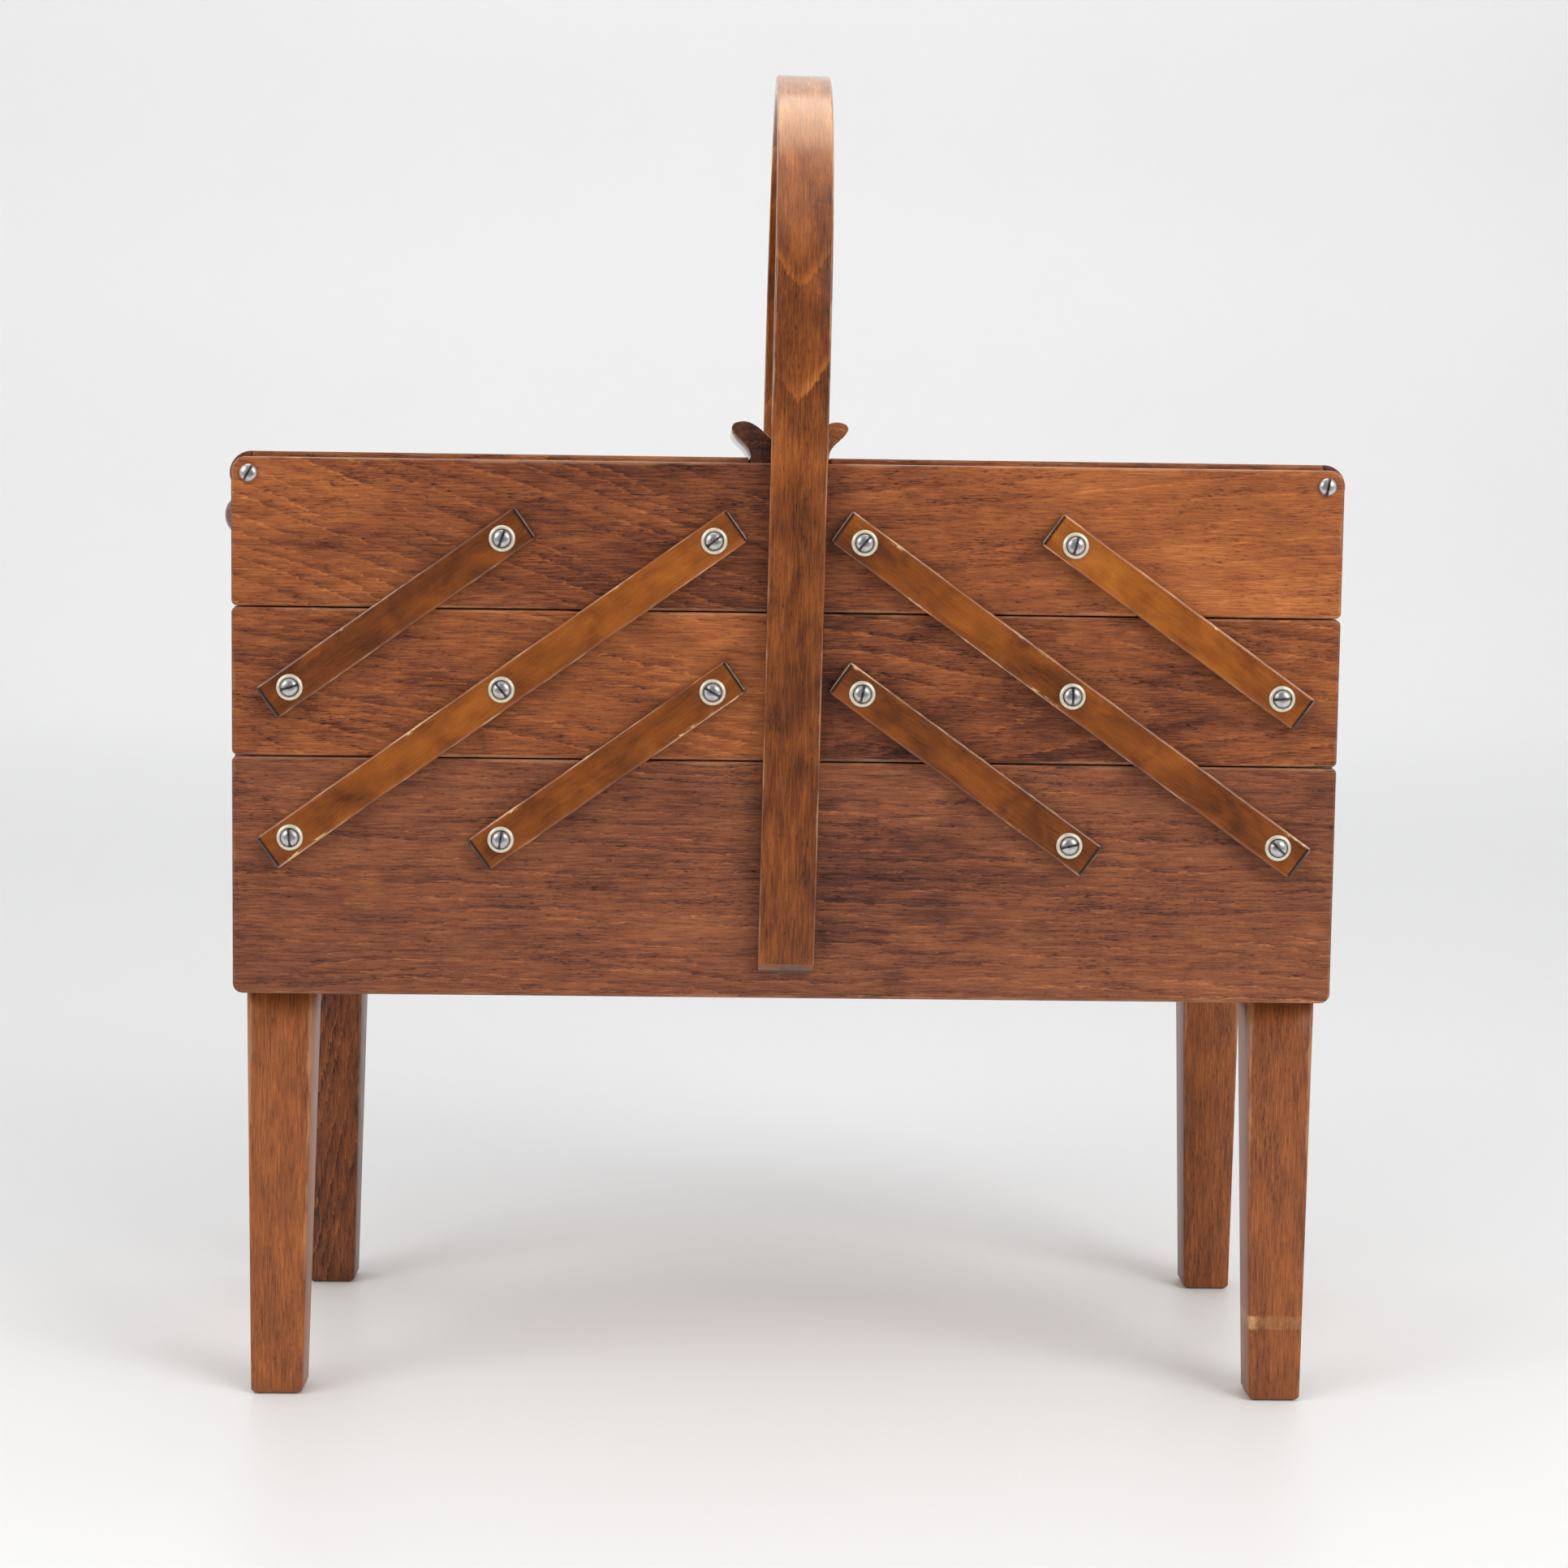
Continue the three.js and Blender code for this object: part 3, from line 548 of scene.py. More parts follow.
def carcass(prefix, low, high, body, node, material, slot, number, corners, end_tops, figure):
    """The four boards of a box or tray. end_tops are the heights of its left and right end boards."""
    long_half = ((high.x - low.x) / 2, (high.z - low.z) / 2, BOARD / 2)
    middle = (low + high) / 2
    for index, (face, side) in enumerate(FACES):
        turn = FRONT if side < 0 else BACK
        origin = (middle.x, side * (HALF_DEPTH - BOARD / 2), middle.z)
        own = corners if side < 0 else (corners[1], corners[0], corners[3], corners[2])
        chosen = figure if side < 0 else ()
        board(f"{prefix}_{face}_board", axes(*turn, origin), long_half, number + index, material, body, [node], slot,
              own, 0.0011, *chosen)
    for index, (side, turn, x, top) in enumerate((("left", LEFT_END, low.x + BOARD / 2, end_tops[0]),
                                                  ("right", RIGHT_END, high.x - BOARD / 2, end_tops[1]))):
        half = (HALF_DEPTH - BOARD + GLUE_OVERLAP, (top - low.z) / 2, BOARD / 2)
        board(f"{prefix}_{side}_end", axes(*turn, (x, 0, (low.z + top) / 2)), half, number + 2 + index, material,
              body, [node], slot, (0.0006,) * 4, 0.0005)


# ---- boxes, trays and their bottoms ------------------------------------------------------------------------------
carcass("base", base_low, base_high, "base", "base_box", base_wood, "base_wood", 1,
        (CORNER, CORNER, BASE_LOWER_CORNER, BASE_LOWER_CORNER), (base_high.z, base_high.z), FIGURES["base"])
board("base_bottom", axes(*LEVEL, (0, 0, base_low.z + 0.0035)),
      (HALF_WIDTH - BOARD + GLUE_OVERLAP, HALF_DEPTH - BOARD + GLUE_OVERLAP, 0.003), 7, ply, "base", ["base_box"],
      "plywood", lip=0.0003)

for hand, sign in HANDS:
    for level, tier in enumerate(("middle", "top")):
        node = f"{hand}_{tier}_tray"
        low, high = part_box(node)
        body = f"{hand}_{tier}_drawer"
        outer_top = inner_top = high.z
        outer_corner = CORNER
        if tier == "top":
            pivot = Vector(joints[f"{hand}_lid_open"]["pos_m"])
            outer_top = pivot.z - LID_NOSE - LID_GAP
            inner_top = pivot.z + LID_NOSE - LID_THICKNESS - LID_GAP
            outer_corner = LID_CORNER
        ends = (outer_top, inner_top) if sign < 0 else (inner_top, outer_top)
        corners = (CORNER, outer_corner, CORNER, CORNER) if sign < 0 else (outer_corner, CORNER, CORNER, CORNER)
        carcass(f"{hand}_{tier}", low, high, body, node, tray_wood, "tray_wood", 11 + 20 * level + 7 * (sign + 1),
                corners, ends, FIGURES[f"{hand}_{tier}"])
        panel_low, panel_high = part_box(f"{node}_bottom")
        board(f"{hand}_{tier}_bottom", axes(*LEVEL, (panel_low + panel_high) / 2), (panel_high - panel_low) / 2,
              60 + 3 * level + sign, ply, body, [f"{node}_bottom"], "plywood", lip=0.0003)


# ---- lids and pulls ----------------------------------------------------------------------------------------------
WOOD_SHARP_ANGLE = 0.6


def prism(outline, y0, y1, lip):
    """Closed outline in X and Z, taken along Y with rounded arrises at both ends."""
    work = bmesh.new()
    ends = []
    for y in (y0, y1):
        ends.append([work.verts.new((px, y, pz)) for px, pz in outline])
    count = len(outline)
    for i in range(count):
        work.faces.new((ends[0][i], ends[0][(i + 1) % count], ends[1][(i + 1) % count], ends[1][i]))
    caps = [work.faces.new(list(reversed(ends[0]))), work.faces.new(ends[1])]
    bmesh.ops.recalc_face_normals(work, faces=work.faces)
    rim = {edge for cap in caps for edge in cap.edges}
    bmesh.ops.bevel(work, geom=list(rim), offset=lip, segments=2, profile=0.6, affect="EDGES")
    work.normal_update()
    work.verts.index_update()
    points = [v.co.copy() for v in work.verts]
    faces = [[v.index for v in f.verts] for f in work.faces]
    flat = {i for i, f in enumerate(work.faces) if abs(f.normal.y) > 0.999}
    work.free()
    return points, faces, flat


def lengthwise(name, outline, y0, y1, lip, number, material, body, nodes, slot, light_and_tone=0.0):
    """A moulding along Y. Its grain runs along Y too."""
    points, faces, flat = prism(outline, y0, y1, lip)
    xs, zs = [p[0] for p in outline], [p[1] for p in outline]
    centre = Vector(((min(xs) + max(xs)) / 2, 0, (min(zs) + max(zs)) / 2))
    half = ((y1 - y0) / 2, (max(xs) - min(xs)) / 2, (max(zs) - min(zs)) / 2)
    place = [(p.y, p.x - centre.x, p.z - centre.z) for p in points]
    shape = Shape()
    shape.add(points, faces, place, Matrix.Identity(4), half, seed_of(number), (0, 0, -0.03), (0.06, 0.004, 0.006),
              flat, light_and_tone=(light_and_tone, light_and_tone))
    piece = shape.build(name, material, body, nodes, slot)
    piece.data.set_sharp_from_angle(angle=WOOD_SHARP_ANGLE)
    return piece


def smooth_line(points, steps):
    """Points of a smooth line through the given ones."""
    made = []
    for i in range(len(points) - 1):
        a, b, c, d = (points[max(0, min(len(points) - 1, i + k))] for k in (-1, 0, 1, 2))
        for k in range(steps):
            t = k / steps
            made.append(tuple(0.5 * (2 * q + (r - p) * t + (2 * p - 5 * q + 4 * r - s) * t * t
                                     + (3 * q - p - 3 * r + s) * t ** 3) for p, q, r, s in zip(a, b, c, d)))
    return made + [points[-1]]


# outline of a pull above its lid, in millimetres from the box's middle and from the lid's top
PULL_CREST = ((0.5, 1.6), (2.6, 2.9), (5.3, 5.3), (8.4, 8.5), (12.6, 12), (15.4, 13.6), (17.9, 14.3), (20.4, 14.1),
              (22.4, 13.3), (23.2, 11.8), (22.7, 10.4), (21.3, 8.5), (19.6, 6.9), (17.9, 5.3), (16.5, 3.5),
              (15.7, 1.4), (15.6, 0))

for hand, sign in HANDS:
    body = f"{hand}_lid_leaf"
    pivot = Vector(joints[f"{hand}_lid_open"]["pos_m"])
    lid_top = pivot.z + LID_NOSE
    lid_under = lid_top - LID_THICKNESS
    reach = HALF_DEPTH - BOARD - 0.0005
    inner, outer = PULL_FOOT + 0.0008, abs(pivot.x) - 0.0002
    board(f"{hand}_lid_board", axes(*LEVEL, (sign * (inner + outer) / 2, 0, lid_top - LID_THICKNESS / 2)),
          ((outer - inner) / 2, reach, LID_THICKNESS / 2), 72 + sign, tray_wood, body, [f"{hand}_lid"], "tray_wood",
          (0.0002,) * 4, 0.0001, (0, 0.012 * sign, -0.012), (0.10, 0.0055, 0.016))
    nose = [(pivot.x - sign * BATTEN_REACH, lid_under), (pivot.x, lid_under), (pivot.x, lid_top)]
    nose += [(pivot.x + sign * LID_NOSE * math.sin(a), pivot.z + LID_NOSE * math.cos(a))
             for a in (math.pi * k / 24 for k in range(1, 25))]
    nose.append((pivot.x - sign * BATTEN_REACH, pivot.z - BATTEN_DROP))
    lengthwise(f"{hand}_lid_nose", nose, -reach, reach, 0.0003, 75 + sign, tray_wood, body, [f"{hand}_lid"],
               "tray_wood")
    crest = smooth_line([(sign * px / 1000, lid_top + pz / 1000) for px, pz in PULL_CREST], 4)
    profile = [(sign * 0.0005, lid_under)] + crest + [(sign * PULL_FOOT, lid_under)]
    # the right pull is painted paler than the left: painted light from the right side, with some real tone
    lengthwise(f"{hand}_lid_pull", profile, -reach, reach, 0.0006, 78 + sign, trim_wood, body, [f"{hand}_lid_pull"],
               "tray_wood", 0.12 + 0.16 * sign)


# ---- turned parts ------------------------------------------------------------------------------------------------
def turned(profile, segments):
    """Points and faces of a closed solid of revolution round its own z. The profile is (radius, height) pairs."""
    points, faces = [], []
    for radius, height in profile:
        if radius < 1e-9:
            points.append([(0.0, 0.0, height)])
        else:
            points.append([(radius * math.cos(a), radius * math.sin(a), height)
                           for a in (2 * math.pi * k / segments for k in range(segments))])
    starts = np.cumsum([0] + [len(ring) for ring in points])
    for i in range(len(points) - 1):
        a, b = starts[i], starts[i + 1]
        for k in range(segments):
            j = (k + 1) % segments
            if len(points[i]) == 1:
                faces.append((a, b + j, b + k))
            elif len(points[i + 1]) == 1:
                faces.append((a + k, a + j, b))
            else:
                faces.append((a + k, a + j, b + j, b + k))
    return [p for ring in points for p in ring], [tuple(int(i) for i in f) for f in faces]


def outward(points, faces):
    """The same faces, turned so that they face out of the closed solid."""
    work = bmesh.new()
    made = [work.verts.new(p) for p in points]
    for f in faces:
        work.faces.new([made[i] for i in f])
    bmesh.ops.recalc_face_normals(work, faces=work.faces)
    work.verts.index_update()
    turned_faces = [[v.index for v in f.verts] for f in work.faces]
    work.free()
    return turned_faces


def slotted(profile, slot_width, slot_floor):
    """A turned screw head with a sawn slot along its own x."""
    points, faces = turned(profile, 40)
    mesh = bpy.data.meshes.new("head")
    mesh.from_pydata(points, [], outward(points, faces))
    head = bpy.data.objects.new("head", mesh)
    radius, height = max(p[0] for p in profile), max(p[1] for p in profile)
    bar = bmesh.new()
    bmesh.ops.create_cube(bar, size=1.0, matrix=Matrix.Translation((0, 0, slot_floor + height)) @ Matrix.Diagonal(
        (4 * radius, slot_width, 2 * height, 1)))
    bar_mesh = bpy.data.meshes.new("slot")
    bar.to_mesh(bar_mesh)
    bar.free()
    slot = bpy.data.objects.new("slot", bar_mesh)
    for made in (head, slot):
        bpy.context.scene.collection.objects.link(made)
    cut = head.modifiers.new("slot", "BOOLEAN")
    cut.operation, cut.object, cut.solver = "DIFFERENCE", slot, "EXACT"
    bpy.context.view_layer.update()
    result = bpy.data.meshes.new_from_object(head.evaluated_get(bpy.context.evaluated_depsgraph_get()))
    out = ([v.co.copy() for v in result.vertices], [list(p.vertices) for p in result.polygons])
    for made in (head, slot):
        bpy.data.objects.remove(made)
    return out


SLOT_WIDTH = 0.00095
SHARP_ANGLE = 0.7  # of metal edges
CUP_PROFILE = [(0.0022, 0.0), (CUP_RADIUS - 0.0001, 0.0), (CUP_RADIUS, 0.00012), (0.00524, 0.00036),
               (0.00510, 0.00062), (0.00486, 0.00086), (0.00456, 0.00102), (0.00424, 0.00110), (0.00398, 0.00108),
               (0.00382, 0.00096), (0.00374, 0.00060), (0.0036, 0.0001), (0.0022, 0.00005), (0.0022, 0.0)]
HEAD_PROFILE = [(0.0, 0.0002), (0.0021, 0.0002), (0.0030, 0.0004), (HEAD_RADIUS, 0.00075), (0.00352, 0.0010),
                (0.00346, 0.00135), (0.00322, 0.00175), (0.0028, 0.00210), (0.0022, 0.0024), (0.0015, 0.0026),
                (0.0008, 0.00268), (0.0, 0.0027)]
LID_HEAD_PROFILE = [(0.0, 0.0), (0.0033, 0.0), (0.0036, 0.0002), (0.00358, 0.0006), (0.0034, 0.00105),
                    (0.0030, 0.0015), (0.0024, 0.00185), (0.0017, 0.0021), (0.0009, 0.00225), (0.0, 0.0023)]
HEAD = slotted(HEAD_PROFILE, SLOT_WIDTH, 0.0014)
LID_HEAD = slotted(LID_HEAD_PROFILE, SLOT_WIDTH, 0.0012)
CUP = turned(CUP_PROFILE, 44)


def screw_axes(centre, side, angle):
    """Axes of a screw at a pivot: its own z points out of the face and its slot lies at the angle seen from there."""
    turn = Matrix.Rotation(math.radians(angle), 4, "Z")
    return axes(*(FRONT if side < 0 else BACK), centre) @ turn


def add_head(shape, template, matrix, number, deep):
    """A screw head, darkened in its slot and below the height deep: grime with painted shade in the slot, and a painted
    shadow ring at its foot.
    """
    points, faces = template
    top = max(p.z for p in points)
    grime = []
    for p in points:
        in_slot = abs(p.y) < 0.0006 and p.z < top - 0.0004
        grime.append(0.9 if in_slot or p.z < deep else 0.0)
    shape.add(points, faces, points, matrix, (1, 1, 1), seed_of(number), grime=grime)


# degrees, from the first pivot of an arm to its last; the back's are turned on from the front's
SLOT_ANGLES = {
    "left": {"long": (95, -50, 38), "upper": (17, 70), "lower": (80, -30)},
    "right": {"long": (-45, 90, 50), "upper": (5, 75), "lower": (12, 78)},
}
LID_SLOT_ANGLES = {"left": 60, "right": 80}
BACK_SLOT_TURN = 28

# the pivot screws of each body, which become one piece of cups and one of screws
tiers = {}
for hand, sign in HANDS:
    for face, side in FACES:
        for kind, stops in ARMS.items():
            for index, tier in enumerate(stops):
                owner = "base" if tier == "base" else f"{hand}_{tier}_drawer"
                tiers.setdefault(owner, []).append((hand, face, side, kind, tier, SLOT_ANGLES[hand][kind][index]))

number = 100
for owner, members in tiers.items():
    cups, heads, nodes = Shape(), Shape(), []
    for hand, face, side, kind, tier, angle in members:
        node = f"{hand}_{face}_{kind}_screw_{tier}"
        low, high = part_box(node)
        seat = HALF_DEPTH + FACE_GAP + ARM_THICKNESS + SEAT_GAP
        centre = ((low.x + high.x) / 2, side * seat, (low.z + high.z) / 2)
        matrix = screw_axes(centre, side, angle + (BACK_SLOT_TURN if side > 0 else 0))
        number += 1
        cup_points, cup_faces = CUP
        # the cup darkened round the head: painted shade in the groove between cup and head, with some grime
        grime = [0.85 if math.hypot(p[0], p[1]) < 0.0038 and p[2] < 0.0009 else 0.0 for p in cup_points]
        cups.add(cup_points, outward(cup_points, cup_faces), cup_points, matrix, (1, 1, 1), seed_of(number),
                 grime=grime)
        add_head(heads, HEAD, matrix, number, 0.0009)
        nodes.append(node)
    cups.build(f"{owner}_cup_washers", nickel, owner, nodes, "plated_steel")
    screws = heads.build(f"{owner}_screws", steel, owner, nodes, "plated_steel")
    screws.data.set_sharp_from_angle(angle=SHARP_ANGLE)

for hand, sign in HANDS:
    pivot = Vector(joints[f"{hand}_lid_open"]["pos_m"])
    shape = Shape()
    for face, side in FACES:
        angle = LID_SLOT_ANGLES[hand] + (BACK_SLOT_TURN if side > 0 else 0)
        number += 1
        matrix = screw_axes((pivot.x, side * (HALF_DEPTH + SEAT_GAP), pivot.z), side, angle)
        # a painted shadow ring at the foot of the head, where it sits on the wood
        add_head(shape, LID_HEAD, matrix, number, 0.0003)
    screws = shape.build(f"{hand}_lid_screws", steel, f"{hand}_lid_leaf", [f"{hand}_lid"], "plated_steel")
    screws.data.set_sharp_from_angle(angle=SHARP_ANGLE)


# ---- knobs -------------------------------------------------------------------------------------------------------
KNOB_PROFILE = [(0.0, -0.0002), (0.0050, -0.0002), (0.0054, 0.0003), (0.0053, 0.0012), (0.0049, 0.0024),
                (0.0050, 0.0036), (0.0057, 0.0050), (0.0069, 0.0063), (0.0080, 0.0078), (0.0087, 0.0094),
                (0.0089, 0.0112), (0.0087, 0.0136), (0.0079, 0.0158), (0.0067, 0.0177), (0.0051, 0.0191),
                (0.0031, 0.0200), (0.0012, 0.0204), (0.0, 0.0204)]
for hand, sign in HANDS:
    low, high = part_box(f"{hand}_knob")
    points, faces = turned(KNOB_PROFILE, 48)
    origin = (sign * HALF_WIDTH, 0, (low.z + high.z) / 2)
    shape = Shape()
    place = [(p[2] - 0.009, p[0], p[1]) for p in points]
    shape.add(points, outward(points, faces), place, axes(*(LEFT_END if sign < 0 else RIGHT_END), origin),
              (0.03, 0.03, 0.03), seed_of(90 + sign), (0, 0.004, -0.004), (0.1, 0.0035, 0.003))
    shape.build(f"{hand}_knob_turned", trim_wood, f"{hand}_top_drawer", [f"{hand}_knob"], "tray_wood")


# ---- arms --------------------------------------------------------------------------------------------------------
ARM_OVERHANG = 0.0115  # from a pivot to the arm's end
# how much paler or darker than the rest each kind of arm is: painted light and shade, with some real difference of tone
ARM_LIGHT_AND_TONE = {
    "left": {"long": 0.0, "upper": -0.12, "lower": -0.03},
    "right": {"long": -0.10, "upper": 0.06, "lower": -0.09},
}
number = 200
for hand, sign in HANDS:
    for face, side in FACES:
        for kind, stops in ARMS.items():
            node = f"{hand}_{face}_{kind}_arm"
            ends = [sum(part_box(f"{hand}_{face}_{kind}_screw_{tier}"), Vector()) / 2 for tier in (stops[0], stops[-1])]
            low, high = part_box(node)
            along = Vector((ends[1].x - ends[0].x, 0, ends[1].z - ends[0].z))
            length = along.length
            along.normalize()
            out = Vector((0, side, 0))
            across = out.cross(along)
            middle = (low + high) / 2
            number += 1
            draw = np.random.default_rng(number)
            board(f"{node}_bar", axes(along, across, out, middle),
                  (length / 2 + ARM_OVERHANG, ARM_WIDTH / 2, (high.y - low.y) / 2), number, arm_wood,
                  f"{hand}_{kind}_arms", [node], "arm_wood", (0.0013,) * 4, 0.00105,
                  (draw.uniform(-0.1, 0.1), draw.uniform(-0.03, 0.03), -0.02), (draw.uniform(-0.1, 0.1), 0.006, 0.01),
                  light_and_tone=tuple(ARM_LIGHT_AND_TONE[hand][kind] + draw.uniform(-0.05, 0.05) for _ in range(2)))

# ---- legs --------------------------------------------------------------------------------------------------------

# height and inset of each section; the last is at the bottom box, whatever its height
LEG_RINGS = ((0.0, 0.0020), (0.0005, 0.0012), (0.0011, 0.00055), (0.0020, 0.0), (0.02, 0.0), (0.06, 0.0), (0.11, 0.0),
             (0.15, 0.0), (1.0, 0.0))
LEG_ROUND = 0.0014
# where the pith lies, slope and strength of the rings, and how much paler the leg is: painted light and shade with some
# real tone, the back left leg darkened as if in the shade at the back
LEG_FIGURES = {"front_left": ((-0.03, 0.02), 0.05, 0.3, 0.02), "front_right": ((0.02, 0.03), -0.03, 0.3, -0.05),
               "back_left": ((-0.035, 0.004), -0.20, 1.3, -0.18), "back_right": ((0.03, -0.03), 0.03, 0.5, -0.02)}
for index, corner in enumerate(("front_left", "front_right", "back_left", "back_right")):
    node = f"leg_{corner}"
    low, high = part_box(node)
    side_x = -1 if corner.endswith("left") else 1
    side_y = -1 if corner.startswith("front") else 1
    top = base_low.z
    outer_x = low.x if side_x < 0 else high.x
    outer_y = low.y if side_y < 0 else high.y
    centre = (outer_x - side_x * LEG_TOP / 2, outer_y - side_y * LEG_TOP / 2)
    shape = Shape()
    points, place = [], []
    heights = [h for h, _ in LEG_RINGS[:-1]] + [top - 0.0001]
    insets = [i for _, i in LEG_RINGS]
    for height, inset in zip(heights, insets):
        down = 1 - height / top
        half = (LEG_TOP - (LEG_INNER_TAPER + LEG_OUTER_TAPER) * down) / 2 - inset
        drift = (LEG_INNER_TAPER - LEG_OUTER_TAPER) / 2 * down
        for px, py in rounded_section(half, half, LEG_ROUND):
            points.append((centre[0] + side_x * drift + px, centre[1] + side_y * drift + py, height))
            place.append((height - top / 2, px, py))
    faces = bar_faces(len(heights))
    pith, slope, gain, light_and_tone = LEG_FIGURES[corner]
    shape.add(points, faces, place, Matrix.Identity(4), (top / 2, LEG_TOP / 2 - 0.0012, LEG_TOP / 2 - 0.0012),
              seed_of(30 + index), (0, *pith), (slope, 0.0042, 0.005), {len(faces) - 2, len(faces) - 1}, gain=gain,
              light_and_tone=(light_and_tone, light_and_tone), mark=float(corner == "front_right"))
    shape.build(f"{node}_turned", leg_wood, "base", [node], "leg_wood")

# ---- hoop --------------------------------------------------------------------------------------------------------
HOOP_LEAN = math.radians(0.75)
HOOP_SHIFT = 0.0008
HOOP_FOOT = 0.1795
HOOP_TOP = 0.5465
SIDE_STEPS = 16
CROWN_STEPS = 60
middle_radius = HALF_DEPTH + FACE_GAP + HOOP_THICKNESS / 2
spring = HOOP_TOP - HALF_DEPTH - FACE_GAP - HOOP_THICKNESS
straight = spring - HOOP_FOOT
# the strip's middle line: length from its front foot, y, z and how far it has turned
path = [(0.0, -middle_radius, HOOP_FOOT, 0.0), (HOOP_BEVEL, -middle_radius, HOOP_FOOT + HOOP_BEVEL, 0.0)]
for k in range(1, SIDE_STEPS + 1):
    s = HOOP_BEVEL + (straight - HOOP_BEVEL) * k / SIDE_STEPS
    path.append((s, -middle_radius, HOOP_FOOT + s, 0.0))
for k in range(1, CROWN_STEPS):
    a = math.pi * k / CROWN_STEPS
    path.append((straight + middle_radius * a, -middle_radius * math.cos(a), spring + middle_radius * math.sin(a), a))
total = 2 * straight + math.pi * middle_radius
for s, y, z, a in reversed(path[:SIDE_STEPS + 2]):
    path.append((total - s, -y, z, math.pi))


def hoop_section(share):
    """Rounded section of the strip. share is how much of the thickness is left, from the inside out."""
    lip = LIP * min(1.0, share + 0.2)
    shift = -HOOP_THICKNESS / 2 * (1 - share)
    outline = rounded_section(HOOP_WIDTH / 2, HOOP_THICKNESS / 2 * share, lip)
    return [(width, thick + shift) for width, thick in outline]


points, place = [], []
for s, y, z, a in path:
    share = 1 - HOOP_BEVEL / HOOP_THICKNESS if s in (0.0, total) else 1.0
    out = Vector((0, -math.cos(a), math.sin(a)))
    for width, thick in hoop_section(share):
        p = Vector((-width, y, z)) + out * thick
        up = p.z - HOOP_FOOT
        points.append((HOOP_SHIFT + p.x * math.cos(HOOP_LEAN) + up * math.sin(HOOP_LEAN), p.y,
                       HOOP_FOOT + up * math.cos(HOOP_LEAN) - p.x * math.sin(HOOP_LEAN)))
        place.append((s - total / 2, width, thick))
shape = Shape()
faces = bar_faces(len(path))
shape.add(points, faces, place, Matrix.Identity(4), (total / 2, HOOP_WIDTH / 2, HOOP_THICKNESS / 2), seed_of(50),
          (0.013, 0.001, 0.0004), (-0.62, 0.0312, 0.002), {len(faces) - 2, len(faces) - 1})
# plain but for two flames above the lids; paler at the crown, partly rubbed and partly a painted highlight; darker
# towards the feet
for index, (where, *others, mood) in enumerate(shape.fields):
    from_foot = total / 2 - abs(where[0])
    flame = max(0.0, 1 - abs(from_foot - 0.25) / 0.07) if where[0] < 0 else 0.3
    crown = min(1.0, max(0.0, (0.118 - abs(where[0])) / 0.05))
    low = min(1.0, max(0.0, (0.23 - from_foot) / 0.10))
    shape.fields[index] = (where, *others, (min(1.0, 0.15 + 1.3 * flame), 0.30 * crown - 0.12 * low, 0.0))
hoop = shape.build("hoop_strip", hoop_wood, "base", ["hoop_handle"], "hoop_wood")
hoop.data.set_sharp_from_angle(angle=WOOD_SHARP_ANGLE)


# ---- floor, lights and camera ------------------------------------------------------------------------------------
FLOOR_RADIUS = 4.3
CURVE_RADIUS = 1.4
MIRRORED_FROM = -0.9  # along Y


def sweep():
    """Pale floor that rises in one smooth curve all round."""
    profile = [(0.0, 0.0)] + [(0.1 + 0.2 * k, 0.0) for k in range(22)]
    profile += [(FLOOR_RADIUS + CURVE_RADIUS * math.sin(a), CURVE_RADIUS - CURVE_RADIUS * math.cos(a))
                for a in (math.pi / 2 * k / 16 for k in range(1, 17))]
    profile.append((FLOOR_RADIUS + CURVE_RADIUS, 2.6))
    points, faces = turned(profile, 96)
    g = Graph("floor_paint")
    where = g.node("ShaderNodeTexCoord").outputs["Object"]
    cloud = g.noise(where, (3, 3, 3), 2.0)
    colour = g.mix(cloud, (0.86, 0.86, 0.855, 1), (0.88, 0.88, 0.875, 1))
    paint = g.finish(colour, g.times_add(cloud, 0.1, 0.38), Specular_IOR_Level=0.25)
    for name, glossy in (("floor", True), ("floor_in_front", False)):
        # what lies well in front is not mirrored, as if a dark room began there
        chosen = [f for f in faces if (sum(points[i][1] for i in f) / len(f) > MIRRORED_FROM) == glossy]
        mesh = bpy.data.meshes.new(name)
        mesh.from_pydata(points, [], chosen)
        mesh.polygons.foreach_set("use_smooth", [True] * len(chosen))
        mesh.update()
        mesh.materials.append(paint)
        made = bpy.data.objects.new(name, mesh)
        bpy.context.scene.collection.objects.link(made)
        made.visible_glossy = glossy


def area_light(name, location, target, size, power, colour=(1, 1, 1), glossy=True, diffuse=True):
    data = bpy.data.lights.new(name, "AREA")
    data.shape, data.size, data.size_y = "RECTANGLE", size[0], size[1]
    data.energy, data.color = power, colour
    made = bpy.data.objects.new(name, data)
    made.location = location
    made.rotation_euler = (Vector(target) - Vector(location)).to_track_quat("-Z", "Y").to_euler()
    made.visible_glossy, made.visible_diffuse = glossy, diffuse
    bpy.context.scene.collection.objects.link(made)


sweep()
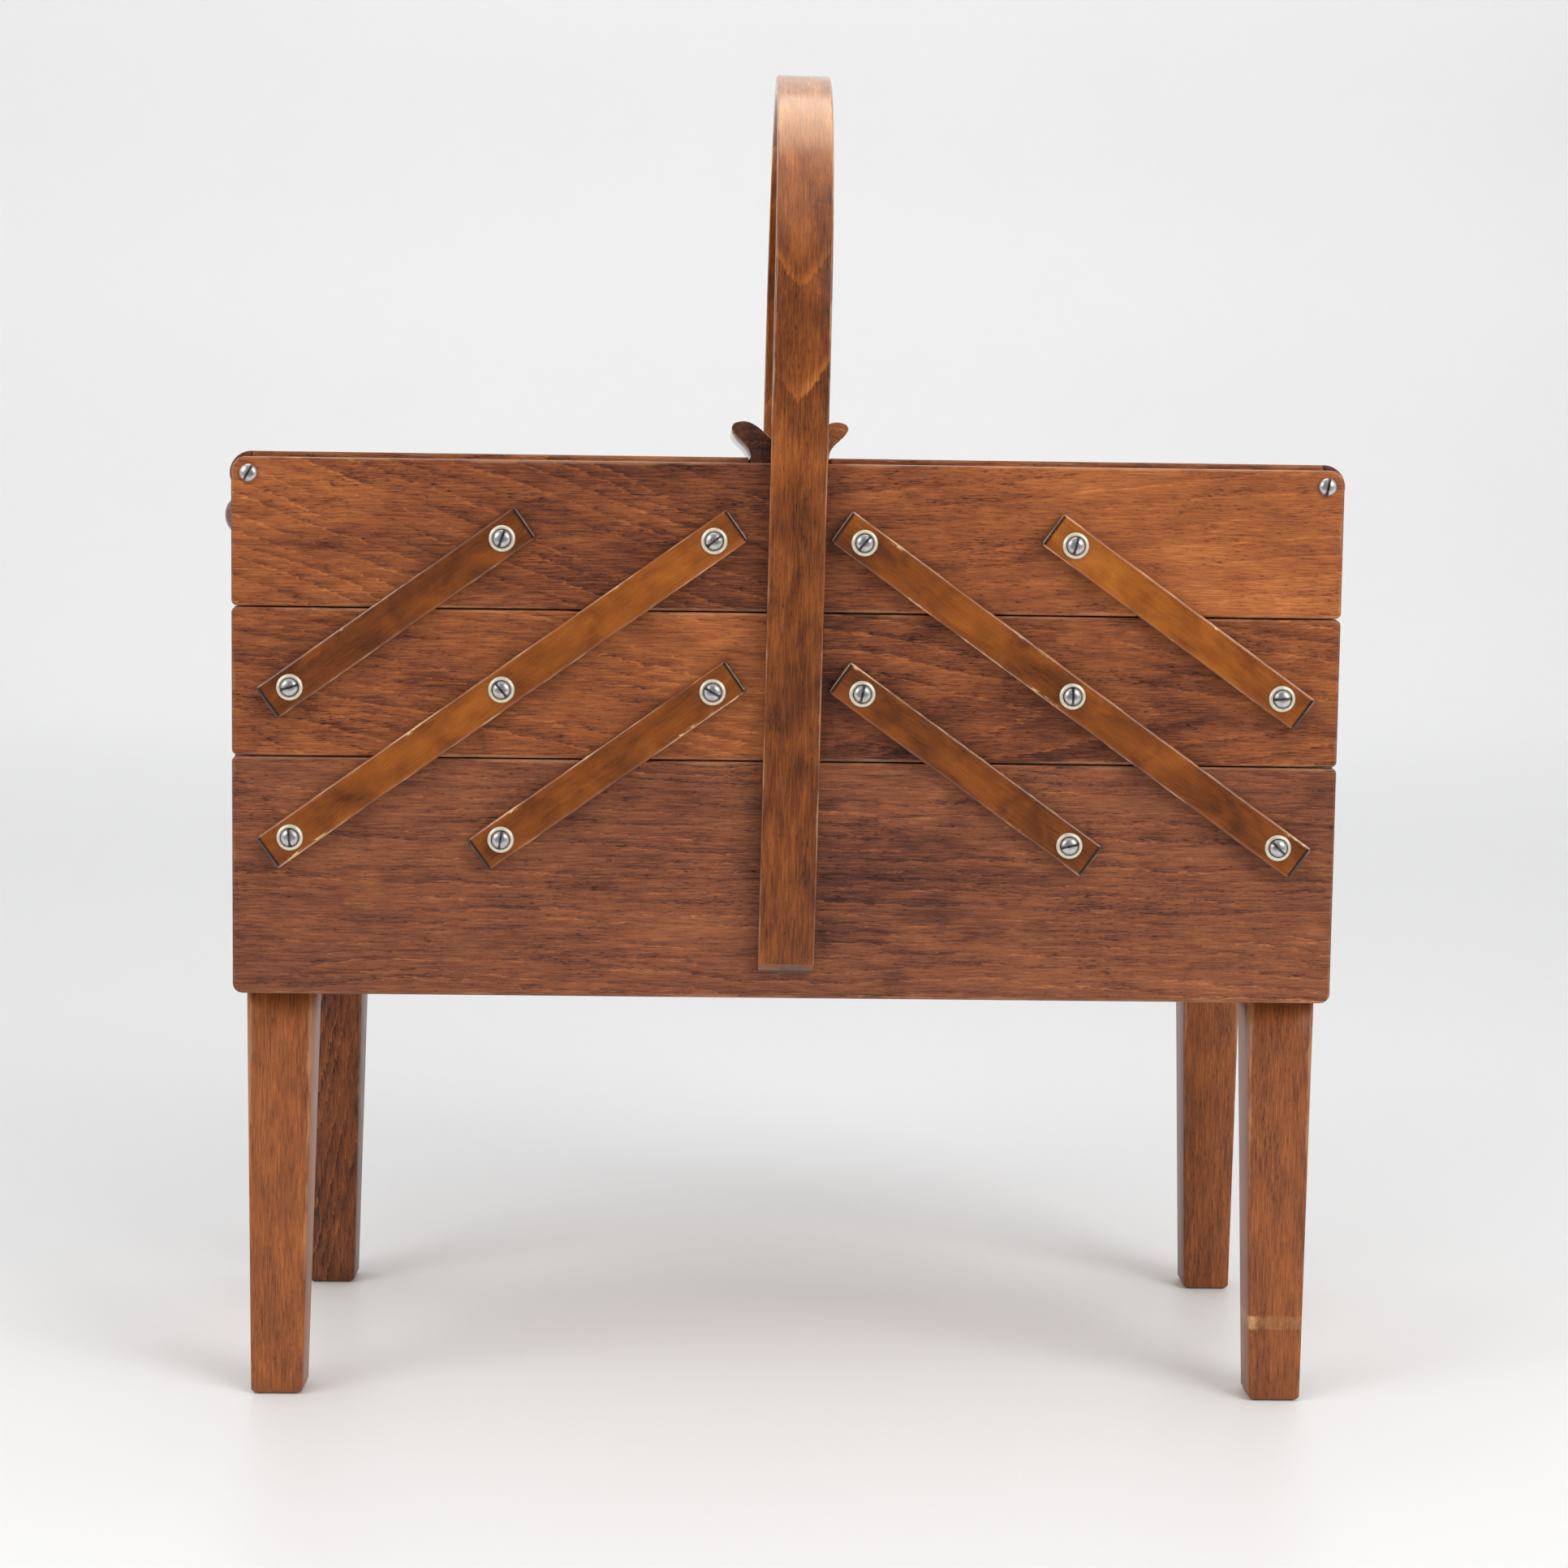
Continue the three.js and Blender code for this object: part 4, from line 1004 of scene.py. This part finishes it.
# each side has one light that only lights and a weaker one, a little nearer, that is only reflected
area_light("front_light", (0.1, -1.4, 2.1), (0.0, -0.6, 0.0), (1.8, 1.1), 10.0, glossy=False)
area_light("right_light", (1.7, -1.9, 1.5), (0.0, 0.0, 0.25), (1.4, 1.4), 35.0, glossy=False)
area_light("right_shine", (1.64, -1.84, 1.46), (0.0, 0.0, 0.25), (1.4, 1.4), 22.0, diffuse=False)
area_light("left_light", (-1.9, -1.7, 1.5), (0.0, 0.0, 0.25), (1.4, 1.4), 20.0, glossy=False)
area_light("left_shine", (-1.84, -1.64, 1.46), (0.0, 0.0, 0.25), (1.4, 1.4), 18.0, diffuse=False)
area_light("wall_light", (0.0, 3.6, 3.2), (0.0, 5.6, 1.2), (4.0, 0.8), 45.0)
# warm reflection along the top of the hoop
area_light("sheen_light", (0.0, 0.75, 2.41), (0.0, 0.75, 0.0), (2.0, 1.5), 28.0, (1.0, 0.84, 0.62), diffuse=False)

# a bright studio all round but for the dark room in front, which keeps the varnish of the front faces clear: where
# the room changes along Y, and how bright it is before and after
ROOM_CHANGE = (-0.80, -0.30, 0.13, 0.82)
world = bpy.data.worlds.new("studio")
world.use_nodes = True
tree = world.node_tree
room = tree.nodes.new("ShaderNodeTexCoord")
sides = tree.nodes.new("ShaderNodeSeparateXYZ")
shade = tree.nodes.new("ShaderNodeMapRange")
shade.interpolation_type = "SMOOTHSTEP"
for socket, value in zip(shade.inputs[1:5], ROOM_CHANGE):
    socket.default_value = value
tree.links.new(room.outputs["Generated"], sides.inputs[0])
tree.links.new(sides.outputs[1], shade.inputs[0])
tree.links.new(shade.outputs[0], tree.nodes["Background"].inputs["Strength"])
tree.nodes["Background"].inputs["Color"].default_value = (0.98, 0.985, 1.0, 1)
bpy.context.scene.world = world
bpy.context.scene.view_settings.view_transform = "Standard"

FOCAL_PIXELS, FRAME_PIXELS = 3824, 1932
SENSOR_WIDTH = 36.0
CAMERA_PLACE = (-0.0271, -1.3462, 0.3705)
YAW, PITCH, ROLL = 0.0214, 0.0937, 0.0133
forward = Vector((math.sin(YAW) * math.cos(PITCH), math.cos(YAW) * math.cos(PITCH), -math.sin(PITCH)))
level_right = Vector((math.cos(YAW), -math.sin(YAW), 0))
level_up = level_right.cross(forward)
right = math.cos(ROLL) * level_right + math.sin(ROLL) * level_up
up = -math.sin(ROLL) * level_right + math.cos(ROLL) * level_up
lens = bpy.data.cameras.new("camera")
lens.sensor_width = SENSOR_WIDTH
lens.lens = SENSOR_WIDTH * FOCAL_PIXELS / FRAME_PIXELS
camera = bpy.data.objects.new("camera", lens)
camera.matrix_world = axes(right, up, -forward, CAMERA_PLACE)
bpy.context.scene.collection.objects.link(camera)
bpy.context.scene.camera = camera
